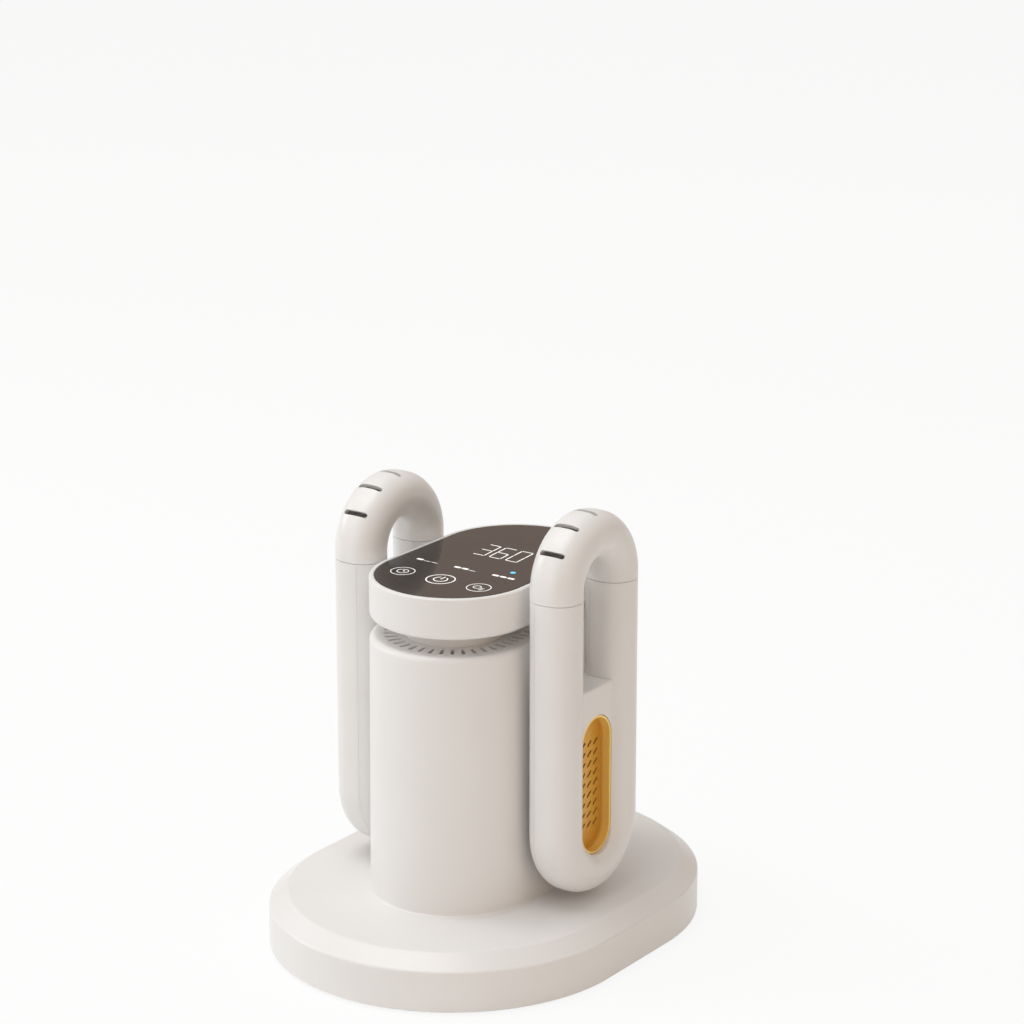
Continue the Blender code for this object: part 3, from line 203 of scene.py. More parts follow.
def pull(shape: BMesh, ring: list[BMEdge], way: Point) -> list[BMEdge]:
    """Extrude a ring of edges straight along a way and return the new ring."""
    made = bmesh.ops.extrude_edge_only(shape, edges=ring)["geom"]
    fresh = set(shift(shape, made, way))
    return [item for item in made if isinstance(item, BMEdge) and set(item.verts) <= fresh]


def turn(shape: BMesh, ring: list[BMEdge], centre: Point, axis: Point, angle: float,
         steps: int) -> list[BMEdge]:
    """Spin a ring of edges about an axis and return the new ring."""
    points = list({point for edge in ring for point in edge.verts})
    made = bmesh.ops.spin(shape, geom=points + ring, cent=centre, axis=axis, angle=angle, steps=steps)
    return [item for item in made["geom_last"] if isinstance(item, BMEdge)]


def cap(shape: BMesh) -> BMesh:
    """Close a mesh's open ends and clean it."""
    bmesh.ops.remove_doubles(shape, verts=shape.verts, dist=MERGE)
    bmesh.ops.holes_fill(shape, edges=[edge for edge in shape.edges if edge.is_boundary], sides=0)
    return clean(shape)


def stadium(outline: Outline, run: float, closed: bool = True) -> BMesh:
    """Carry a profile of radius and height round a stadium that is long along Y.

    Args:
        outline: the profile; an open one starts and ends at radius 0.
        run: half of the stadium's straight side.
        closed: whether the profile is a closed loop.

    Returns:
        The swept solid.
    """
    shape = bmesh.new()
    ring = trace(shape, outline, closed)
    bmesh.ops.translate(shape, vec=(0.0, -run, 0.0), verts=shape.verts)
    for end in (1, -1):
        ring = pull(shape, ring, (0.0, 2 * run * end, 0.0))
        ring = turn(shape, ring, (0.0, run * end, 0.0), (0.0, 0.0, 1.0), math.pi, ROUND_STEPS)
    return clean(shape)


def turned(outline: Outline, closed: bool = True, steps: int = PIPE_STEPS) -> BMesh:
    """Turn a profile of radius and height about the Z axis."""
    shape = bmesh.new()
    ring = trace(shape, outline, closed)
    bmesh.ops.spin(shape, geom=shape.verts[:] + ring, cent=(0, 0, 0), axis=(0, 0, 1), angle=2 * math.pi,
                   steps=steps, use_merge=True)
    return clean(shape)


def plate(outline: Outline, low: float, high: float) -> BMesh:
    """A flat plate with the given outline, lying in XY between two heights."""
    shape = bmesh.new()
    trace(shape, outline)
    bmesh.ops.remove_doubles(shape, verts=shape.verts, dist=MERGE)
    bmesh.ops.contextual_create(shape, geom=shape.edges[:])
    bmesh.ops.transform(shape, matrix=Matrix.Translation((0, 0, low)) @ LIE_FLAT, verts=shape.verts)
    shift(shape, bmesh.ops.extrude_face_region(shape, geom=shape.faces[:])["geom"], (0.0, 0.0, high - low))
    return clean(shape)


def rectangle(low: Place, high: Place, radius: float = 0.0, steps: int = 6) -> list[tuple]:
    """A rectangle between two corners, with all four rounded alike."""
    corners = ((low[0], low[1]), (high[0], low[1]), (high[0], high[1]), (low[0], high[1]))
    return [(*corner, radius, steps) for corner in corners]


def pill(length: float, width: float, steps: int) -> list[tuple]:
    """A slot's outline round the origin, its ends fully round."""
    return rectangle((-length / 2, -width / 2), (length / 2, width / 2), width / 2, steps)


def block(low: Point, high: Point) -> BMesh:
    """A box between two corners."""
    shape = bmesh.new()
    size = Vector(high) - Vector(low)
    middle = (Vector(high) + Vector(low)) / 2
    bmesh.ops.create_cube(shape, size=1.0, matrix=Matrix.Translation(middle) @ Matrix.Diagonal((*size, 1.0)))
    return shape


def drum(radius: float, depth: float, matrix: Matrix, steps: int = PIPE_STEPS) -> BMesh:
    """A plain cylinder about the matrix's Z axis, used to cut holes."""
    shape = bmesh.new()
    bmesh.ops.create_cone(shape, cap_ends=True, segments=steps, radius1=radius, radius2=radius, depth=depth,
                          matrix=matrix)
    return shape


def moved(shape: BMesh, matrix: Matrix) -> BMesh:
    """Move a mesh by a matrix and return it."""
    bmesh.ops.transform(shape, matrix=matrix, verts=shape.verts)
    return shape


def gathered(shapes: Iterable[BMesh]) -> BMesh:
    """Put several meshes that don't touch into one."""
    whole = bmesh.new()
    for shape in shapes:
        mesh = bpy.data.meshes.new("part")
        shape.to_mesh(mesh)
        shape.free()
        whole.from_mesh(mesh)
        bpy.data.meshes.remove(mesh)
    return whole


class Tube:
    """A closed section, lying level at first, that is carried along straights and bends."""

    def __init__(self, depth: float, width: float, start: Point) -> None:
        """Draw the section.

        Args:
            depth: its length along X.
            width: its length along Y; the ends are fully round.
            start: the section's middle.
        """
        self.shape = bmesh.new()
        trace(self.shape, pill(depth, width, 12))
        bmesh.ops.remove_doubles(self.shape, verts=self.shape.verts, dist=MERGE)
        bmesh.ops.transform(self.shape, matrix=Matrix.Translation(start) @ LIE_FLAT, verts=self.shape.verts)
        self.ring = list(self.shape.edges)
        self.depth = depth
        self.width = width

    def rise(self, height: float) -> "Tube":
        """Carry the section up, or down if the height is negative."""
        self.ring = pull(self.shape, self.ring, (0.0, 0.0, height))
        return self

    def become(self, depth: float, width: float) -> "Tube":
        """Step to another depth and width."""
        self.ring = pull(self.shape, self.ring, NO_WAY)
        points = list({point for edge in self.ring for point in edge.verts})
        middle = sum((point.co for point in points), Vector()) / len(points)
        bmesh.ops.scale(self.shape, vec=(depth / self.depth, width / self.width, 1.0),
                        space=Matrix.Translation(-middle), verts=points)
        self.depth, self.width = depth, width
        return self

    def bend(self, centre: Point, angle: float) -> "Tube":
        """Carry the section round a bend whose axis runs along X."""
        self.ring = turn(self.shape, self.ring, centre, (1.0, 0.0, 0.0), angle, BEND_STEPS)
        return self

    def close(self) -> BMesh:
        """Cap both ends and return the solid."""
        return cap(self.shape)


class Piece:
    """One object of the dressed model, from its first mesh to its place on a body."""

    def __init__(self, name: str, shape: BMesh) -> None:
        """Make the object from a mesh, which is used up."""
        mesh = bpy.data.meshes.new(name)
        shape.to_mesh(mesh)
        shape.free()
        self.obj = bpy.data.objects.new(name, mesh)
        bpy.context.scene.collection.objects.link(self.obj)

    def combine(self, tool: BMesh, operation: Operation = Operation.CUT) -> "Piece":
        """Cut a solid out of this piece, or join it on.

        Args:
            tool: the other solid, which is used up.
            operation: what it does.

        Returns:
            This piece.
        """
        other = Piece("tool", tool).obj
        step = self.obj.modifiers.new("step", "BOOLEAN")
        step.operation = operation.value
        step.solver = "EXACT"
        step.object = other
        evaluated = self.obj.evaluated_get(bpy.context.evaluated_depsgraph_get())
        result = bpy.data.meshes.new_from_object(evaluated)
        self.obj.modifiers.clear()
        before = self.obj.data
        self.obj.data = result
        bpy.data.objects.remove(other, do_unlink=True)
        bpy.data.meshes.remove(before)
        result.name = self.obj.name
        return self

    def copy(self, name: str) -> "Piece":
        """Another piece with the same mesh."""
        shape = bmesh.new()
        shape.from_mesh(self.obj.data)
        return Piece(name, shape)

    def mirrored(self, needed: bool) -> "Piece":
        """Swap left and right if that is needed."""
        if needed:
            shape = bmesh.new()
            shape.from_mesh(self.obj.data)
            bmesh.ops.scale(shape, vec=(-1, 1, 1), verts=shape.verts)
            bmesh.ops.reverse_faces(shape, faces=shape.faces)
            shape.to_mesh(self.obj.data)
            shape.free()
        return self

    def softened(self, width: float) -> "Piece":
        """Round the sharp edges by a live bevel."""
        step = self.obj.modifiers.new("edges", "BEVEL")
        step.width = width
        step.segments = 2
        step.limit_method = "ANGLE"
        step.angle_limit = math.radians(40.0)
        step.use_clamp_overlap = True
        return self

    def dress(self, finish: "Finish", body: str, *nodes: str) -> None:
        """Give the piece its finish, smooth it and set it on its body.

        Args:
            finish: the finish it wears.
            body: the body it rides on.
            nodes: the solids it stands for.
        """
        mesh = self.obj.data
        mesh.materials.clear()
        mesh.materials.append(finish.material())
        mesh.shade_smooth()
        mesh.set_sharp_from_angle(angle=SHARP)
        even = self.obj.modifiers.new("even shading", "WEIGHTED_NORMAL")
        even.keep_sharp = True
        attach(self.obj, body)
        if nodes:
            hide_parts(*nodes)
        LOG.info("%s rides on %s and stands for %s", self.obj.name, body, ", ".join(nodes) or "no solid")


# Finishes

class Board:
    """A node tree, with short ways to add nodes and feed their sockets."""

    def __init__(self, tree: NodeTree) -> None:
        """Keep the tree."""
        self.tree = tree

    def feed(self, node: Node, inputs: Feed) -> None:
        """Give a node's sockets, named or numbered, their values or the sockets that feed them."""
        for name, value in inputs.items():
            if isinstance(value, Socket):
                self.tree.links.new(value, node.inputs[name])
            else:
                node.inputs[name].default_value = value

    def add(self, kind: str, inputs: Feed | None = None, **settings: object) -> Node:
        """Add a node.

        Args:
            kind: the node's type.
            inputs: what its sockets get.
            settings: the node's own settings.

        Returns:
            The new node.
        """
        node = self.tree.nodes.new(kind)
        node.location.x = NODE_PITCH * len(self.tree.nodes)
        for name, value in settings.items():
            setattr(node, name, value)
        self.feed(node, inputs or {})
        return node

    def use(self, tree: NodeTree, inputs: Feed | None = None) -> Sockets:
        """Add one of the shared groups and return its outputs."""
        return self.add("ShaderNodeGroup", inputs, node_tree=tree).outputs

    def place(self) -> Socket:
        """The object's own coordinates."""
        return self.add("ShaderNodeTexCoord").outputs["Object"]

    def noise(self, scale: object, detail: float, distortion: float = 0.0,
              place: Socket | None = None) -> Socket:
        """Noise over the object's own coordinates, or over a given place."""
        place = self.place() if place is None else place
        return self.add("ShaderNodeTexNoise", {"Vector": place, "Scale": scale, "Detail": detail,
                                               "Distortion": distortion}).outputs["Fac"]

    def cells(self, scale: object, **settings: str) -> Socket:
        """Distance within cells over the object's own coordinates."""
        inputs = {"Vector": self.place(), "Scale": scale}
        return self.add("ShaderNodeTexVoronoi", inputs, **settings).outputs["Distance"]

    def mix(self, factor: Socket, first: object, second: object) -> Socket:
        """Mix two colours, or colour sockets, by a factor."""
        first, second = ((*side, 1.0) if isinstance(side, tuple) else side for side in (first, second))
        return self.add("ShaderNodeMix", {0: factor, 6: first, 7: second}, data_type="RGBA").outputs[2]

    def spread(self, value: Socket, start: float, end: float, low: float = 0.0, high: float = 1.0) -> Socket:
        """Map a value between start and end to one between low and high."""
        return self.add("ShaderNodeMapRange", {"Value": value, "From Min": start, "From Max": end,
                                               "To Min": low, "To Max": high}).outputs["Result"]

    def math(self, operation: str, *values: object) -> Socket:
        """Work out a value from others."""
        return self.add("ShaderNodeMath", dict(enumerate(values)), operation=operation).outputs["Value"]

    def split(self, vector: Socket) -> Sockets:
        """The parts X, Y and Z of a vector."""
        return self.add("ShaderNodeSeparateXYZ", {0: vector}).outputs

    def bump(self, height: Socket, depth: float) -> Socket:
        """Normals of a surface whose height goes from 0 to a depth."""
        return self.add("ShaderNodeBump", {"Height": height, "Distance": depth}).outputs["Normal"]


def group(name: str, inputs: dict[str, float], outputs: Sequence[str]) -> tuple[Board, Sockets, Node]:
    """Start a shader node group.

    Args:
        name: the group's name.
        inputs: each input and its usual value.
        outputs: the values that it puts out.

    Returns:
        Its board, the sockets where its inputs arrive, and its output node.
    """
    tree = bpy.data.node_groups.new(name, "ShaderNodeTree")
    for label, value in inputs.items():
        tree.interface.new_socket(label, in_out="INPUT", socket_type="NodeSocketFloat").default_value = value
    for label in outputs:
        tree.interface.new_socket(label, in_out="OUTPUT", socket_type="NodeSocketFloat")
    board = Board(tree)
    return board, board.add("NodeGroupInput").outputs, board.add("NodeGroupOutput")


@lru_cache
def moulding_group() -> NodeTree:
    """Flow tone and fine grain of a moulded surface, as Tone and Height from 0 to 1."""
    board, given, result = group("moulding", {"Grain Scale": 1800.0, "Flow Scale": 14.0}, ("Tone", "Height"))
    flow = board.noise(given["Flow Scale"], detail=1.5, distortion=0.3)
    grain = board.noise(given["Grain Scale"], detail=3.0)
    board.feed(result, {"Tone": board.spread(flow, 0.1, 0.9), "Height": grain})
    return board.tree


@lru_cache
def dust_group() -> NodeTree:
    """Dust that settles in patches on what faces up, as a Mask from 0 to 1."""
    board, given, result = group("dust", {"Amount": 0.1, "Patch Scale": 22.0}, ("Mask",))
    facing = board.split(board.add("ShaderNodeNewGeometry").outputs["Normal"])["Z"]
    patches = board.spread(board.noise(given["Patch Scale"], detail=3.0), 0.20, 0.85)
    share = board.math("MULTIPLY", board.spread(facing, 0.5, 1.0), patches)
    board.feed(result, {"Mask": board.math("MULTIPLY", share, given["Amount"])})
    return board.tree


@lru_cache
def brush_group() -> NodeTree:
    """Fine parallel lines and cloudy plating, as Streak and Cloud from 0 to 1."""
    board, given, result = group("brush", {"Line Scale": 2200.0, "Cloud Scale": 180.0}, ("Streak", "Cloud"))
    stretch = (0.04, 1.0, 1.0)
    long = board.add("ShaderNodeVectorMath", {0: board.place(), 1: stretch}, operation="MULTIPLY")
    lines = board.noise(given["Line Scale"], detail=2.0, place=long.outputs["Vector"])
    board.feed(result, {"Streak": lines, "Cloud": board.cells(given["Cloud Scale"])})
    return board.tree


@lru_cache
def smudge_group() -> NodeTree:
    """Wiped finger marks on gloss, as a Mask from 0 to 1."""
    board, given, result = group("smudge", {"Wipe Scale": 28.0}, ("Mask",))
    finer = 22.0
    smear = board.spread(board.noise(given["Wipe Scale"], detail=2.0, distortion=1.6), 0.45, 0.75)
    fine = board.noise(board.math("MULTIPLY", given["Wipe Scale"], finer), detail=5.0)
    board.feed(result, {"Mask": board.math("MULTIPLY", smear, fine)})
    return board.tree


@dataclass(frozen=True)
class Finish:
    """A moulded surface: body colour with a flow tone, fine grain and settled dust."""

    name: str
    slot: Slot
    colour: Colour
    tone: Colour
    roughness: tuple[float, float] = (0.32, 0.42)
    metallic: float = 0.0
    grain_scale: float = 1800.0
    grain_depth: float = 0.00001
    flow_scale: float = 14.0
    dust: float = 0.06
    dust_colour: Colour = (0.62, 0.59, 0.55)

    def material(self) -> bpy.types.Material:
        """The finish's material, made on first use."""
        material = bpy.data.materials.get(self.name)
        if material is None:
            material = bpy.data.materials.new(self.name)
            material.use_nodes = True
            board = Board(material.node_tree)
            board.feed(board.tree.nodes["Principled BSDF"], {"Metallic": self.metallic, **self.look(board)})
        return material

    def mould(self, board: Board) -> Sockets:
        """Tone and grain height of a moulding."""
        return board.use(moulding_group(), {"Grain Scale": self.grain_scale, "Flow Scale": self.flow_scale})

    def rough(self, board: Board, share: Socket) -> Socket:
        """The roughness at a share of its range."""
        return board.spread(share, 0.0, 1.0, *self.roughness)

    def colouring(self, board: Board, tone: Socket) -> Socket:
        """The body colour, before dust."""
        return board.mix(tone, self.colour, self.tone)

    def look(self, board: Board) -> Feed:
        """What the shader's sockets get."""
        mould = self.mould(board)
        dust = board.use(dust_group(), {"Amount": self.dust})["Mask"]
        return {"Base Color": board.mix(dust, self.colouring(board, mould["Tone"]), self.dust_colour),
                "Roughness": board.math("ADD", self.rough(board, mould["Tone"]), dust),
                "Normal": board.bump(mould["Height"], self.grain_depth)}


@dataclass(frozen=True)
class ShadedGoldFinish(Finish):
    """Amber gold with painted shade: it darkens from the dish's rim down to its floor, where the recess lies
    in shade.
    """

    # painted shade: the darker orange of the dish's floor, deep in the recess
    deep: Colour = (0.68, 0.37, 0.055)
    floor_x: float = 0.0690
    rim_x: float = 0.0716

    def colouring(self, board: Board, tone: Socket) -> Socket:
        """The body colour by the distance from the column's middle plane: painted shade on the dish's floor,
        blending to the lighter gold up the wall.
        """
        reach = board.math("ABSOLUTE", board.split(board.place())["X"])
        # painted shade, mixed in more the nearer a point lies to the dish's floor
        height = board.spread(reach, self.floor_x, self.rim_x)
        return board.mix(height, self.deep, super().colouring(board, tone))


@dataclass(frozen=True)
class MetalFinish(Finish):
    """Plated or bare metal with fine lines and a cloudy tone."""

    def look(self, board: Board) -> Feed:
        """What the shader's sockets get."""
        brush = board.use(brush_group())
        return {"Base Color": self.colouring(board, brush["Cloud"]),
                "Roughness": self.rough(board, brush["Streak"]),
                "Normal": board.bump(brush["Streak"], self.grain_depth)}


@dataclass(frozen=True)
class GlossFinish(Finish):
    """Dark panel glass with wiped finger marks."""

    def look(self, board: Board) -> Feed:
        """What the shader's sockets get."""
        smudge = board.use(smudge_group())["Mask"]
        return {"Base Color": self.colouring(board, smudge), "Roughness": self.rough(board, smudge)}


@dataclass(frozen=True)
class LitFinish(Finish):
    """A mark that shines through the glass, a little uneven over its length."""

    strength: float = 0.8

    def look(self, board: Board) -> Feed:
        """What the shader's sockets get."""
        mould = self.mould(board)
        glow = self.colouring(board, mould["Tone"])
        return {"Base Color": glow, "Emission Color": glow, "Emission Strength": self.strength,
                "Roughness": self.rough(board, mould["Height"])}


@dataclass(frozen=True)
class BoardFinish(Finish):
    """Circuit board: solder mask with lighter copper tracks and bright pads."""

    track: Colour = (0.10, 0.34, 0.14)
    track_scale: float = 160.0
    pad: Colour = (0.72, 0.66, 0.50)
    pad_scale: float = 320.0

    def colouring(self, board: Board, tone: Socket) -> Socket:
        """Tracks from cell borders, pads from the cells' middles."""
        track = board.spread(board.cells(self.track_scale, feature="DISTANCE_TO_EDGE"), 0.03, 0.05, 1.0, 0.0)
        pad = board.spread(board.cells(self.pad_scale, distance="MANHATTAN"), 0.16, 0.20, 1.0, 0.0)
        return board.mix(pad, board.mix(track, super().colouring(board, tone), self.track), self.pad)


WHITE = Finish("warm_white_shell", Slot.WHITE, (0.86, 0.85, 0.84), (0.82, 0.805, 0.79), (0.27, 0.36))
GREY = Finish("pale_grey_moulding", Slot.GREY, (0.62, 0.61, 0.60), (0.56, 0.55, 0.54), (0.42, 0.56),
              grain_depth=0.00004, dust=0.0)
# the gold's own colour, made lighter than it is to stand for light on the dish's wall: partly painted light;
# the floor gets painted shade
GOLD = ShadedGoldFinish("amber_gold_dish", Slot.GOLD, (0.96, 0.71, 0.22), (0.92, 0.64, 0.18), (0.26, 0.36), 0.30,
                  dust=0.0)
STEEL = MetalFinish("zinc_plate", Slot.STEEL, (0.60, 0.61, 0.63), (0.46, 0.47, 0.50), (0.28, 0.46), 1.0,
                    grain_depth=0.000004)
ALUMINIUM = MetalFinish("bare_aluminium", Slot.ALUMINIUM, (0.72, 0.73, 0.74), (0.62, 0.63, 0.65),
                        (0.30, 0.50), 1.0, grain_depth=0.000004)
RUBBER = Finish("dark_rubber", Slot.RUBBER, (0.030, 0.030, 0.031), (0.042, 0.041, 0.040), (0.70, 0.88),
                grain_scale=2600.0, grain_depth=0.00004, dust=0.25)
BLACK = Finish("black_moulding", Slot.BLACK, (0.020, 0.020, 0.022), (0.028, 0.028, 0.030), (0.40, 0.54),
               grain_depth=0.00003, dust=0.04)
BOARD = BoardFinish("green_circuit_board", Slot.BOARD, (0.03, 0.16, 0.08), (0.02, 0.12, 0.06), (0.34, 0.48),
                    dust=0.0)
MILKY = Finish("milky_display", Slot.LIT, (0.80, 0.86, 0.88), (0.74, 0.80, 0.83), (0.45, 0.55), dust=0.0)
GLASS = GlossFinish("smoked_panel_glass", Slot.GLASS, (0.012, 0.010, 0.010), (0.030, 0.025, 0.022),
                    (0.04, 0.13))
LIT = LitFinish("white_panel_marks", Slot.LIT, (0.92, 0.90, 0.87), (0.82, 0.80, 0.78), (0.35, 0.50),
                strength=0.55, flow_scale=60.0)
CYAN = LitFinish("cyan_mode_lamp", Slot.LIT, (0.06, 0.48, 0.72), (0.09, 0.56, 0.78), (0.35, 0.50))
CARRIED = (MILKY, WHITE, GREY, GOLD, STEEL, ALUMINIUM, RUBBER, BLACK, BOARD, GLASS)
BY_SLOT = {finish.slot.value: finish for finish in CARRIED}


# Sub-assemblies

@dataclass
class Fastener:
    """Pan-head screw with a crossed recess, its head's outer face at the origin and its shank along +Z."""

    head: float = 0.0028
    head_rise: float = 0.0010
    head_round: float = 0.0007
    shank: float = 0.0015
    reach: float = 0.0100
    recess: Point = (0.0030, 0.0007, 0.0006)

    def set_in(self, name: str, node: str, matrix: Matrix, mirrored: bool = False) -> None:
        """Set one screw in place of its solid."""
        outline = [(0.0, 0.0), (self.head, 0.0, self.head_round), (self.head, self.head_rise),
                   (self.shank, self.head_rise), (self.shank, self.reach, self.shank / 3, 2),
                   (0.0, self.reach)]
        piece = Piece(name, turned(outline, closed=False, steps=24))
        long, wide, deep = (size / 2 for size in self.recess)
        piece.combine(block((-long, -wide, -deep), (long, wide, 2 * deep)))
        piece.combine(block((-wide, -long, -deep), (wide, long, 2 * deep)))
        piece.obj.data.transform(matrix)
        piece.mirrored(mirrored).dress(STEEL, HOUSING, node)


@dataclass
class Base:
    """Stadium base: chamfered cover, underside plate, rubber feet, screws and the cord's grommet."""

    wall_rise: float = 0.0232
    chamfer: float = 0.0105
    edge: float = 0.0010
    rim: float = 0.0006
    soft: float = 0.0005
    gland_soft: float = 0.0004
    gland_lip: float = 0.0010
    gland_step: float = 0.0020
    groove_track: float = 0.0755
    groove: float = 0.0012
    head_hole: Place = (0.0031, 0.0013)
    shank_hole: float = 0.0018
    hole_depth: float = 0.0080
    foot_rings: Place = (0.35, 0.65)
    foot_groove: Place = (0.0012, 0.0004)

    def __post_init__(self) -> None:
        """Take the outer sizes from the frame."""
        self.low, self.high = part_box("base_cover")
        self.radius = self.high.x
        self.run = self.high.y - self.high.x
        self.gland = box("cord_gland")
        self.flange = self.gland.size.x / 2

    def cover(self) -> None:
        """The white shell, with the grommet's hole and seat in its back."""
        foot, top, radius = self.low.z, self.high.z, self.radius
        shoulder = foot + self.wall_rise
        flat, inner = radius - self.chamfer, radius - SKIN
        outline = [(0.0, top - SKIN), (flat - SKIN / 2, top - SKIN), (inner, shoulder - SKIN / 2),
                   (inner, foot), (radius, foot, self.rim, 3), (radius, shoulder, self.edge, 4),
                   (flat, top, self.edge, 3), (0.0, top)]
        piece = Piece("base_moulding", stadium(outline, self.run, closed=False))
        reach = 4 * SKIN
        collar, seat = self.flange - self.gland_step, reach - self.gland_lip - GAP
        for size, start in ((collar, 0.0), (self.flange, seat)):
            place = self.gland.place(y=self.high.y + start) @ ALONG_Y
            piece.combine(drum(size + GAP, 2 * reach, place))
        piece.dress(WHITE, HOUSING, "base_cover")

    def grommet(self) -> None:
        """The rubber grommet that a cord would leave by, flush with the wall."""
        flange, depth, lip, soft = self.flange, self.gland.size.y, self.gland_lip, self.gland_soft
        bore, collar = flange / 2, flange - self.gland_step
        outline = [(bore, 0.0, soft), (flange, 0.0, soft), (flange, lip), (collar, lip),
                   (collar, depth - lip), (flange, depth - lip), (flange, depth, self.soft),
                   (bore, depth, self.soft)]
        shape = moved(turned(outline), self.gland.place(y=self.gland.low.y) @ ALONG_Y)
        Piece("cord_grommet", shape).dress(RUBBER, HOUSING, "cord_gland")

    def plate(self) -> None:
        """The underside plate, grooved all round, with wells for feet and screws."""
        low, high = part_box("base_plate")
        track, groove, radius = self.groove_track, self.groove, high.x
        outline = [(0.0, low.z), (track, low.z), (track + groove / 2, low.z + groove / 2),
                   (track + groove, low.z), (radius, low.z, self.soft), (radius, high.z), (0.0, high.z)]
        piece = Piece("underside_plate", stadium(outline, high.y - radius, closed=False))
        head_radius, head_depth = self.head_hole
        wells = []
        for index in range(1, 5):
            foot, screw = box(f"foot_{index}"), box(f"base_screw_{index}")
            wells.append(drum(foot.size.x / 2 + GAP, 2 * foot.high.z, foot.place(z=GAP)))
            for size, top in ((head_radius, screw.low.z + head_depth), (self.shank_hole, high.z + self.edge)):
                piece.combine(drum(size, self.hole_depth, screw.place(z=top - self.hole_depth / 2), 32))
        piece.combine(gathered(wells)).dress(GREY, HOUSING, "base_plate")

    def feet(self) -> None:
        """Rubber feet with a ringed sole."""
        wide, deep = self.foot_groove
        for index in range(1, 5):
            foot = box(f"foot_{index}")
            radius, top = foot.size.x / 2, foot.high.z
            outline = [(0.0, 0.0)]
            for start in (radius * share for share in self.foot_rings):
                outline += [(start, 0.0), (start + wide / 4, deep), (start + wide * 0.75, deep),
                            (start + wide, 0.0)]
            outline += [(radius, 0.0, self.soft), (radius, top), (0.0, top)]
            shape = moved(turned(outline, closed=False), foot.place(z=0.0))
            Piece(f"rubber_foot_{index}", shape).dress(RUBBER, HOUSING, f"foot_{index}")

    def screws(self) -> None:
        """The four screws that hold the plate."""
        for index in range(1, 5):
            screw = box(f"base_screw_{index}")
            Fastener().set_in(f"plate_screw_{index}", f"base_screw_{index}", screw.place(z=screw.low.z))

    def build(self) -> None:
        """Make every piece of the base."""
        self.cover()
        self.grommet()
        self.plate()
        self.feet()
        self.screws()


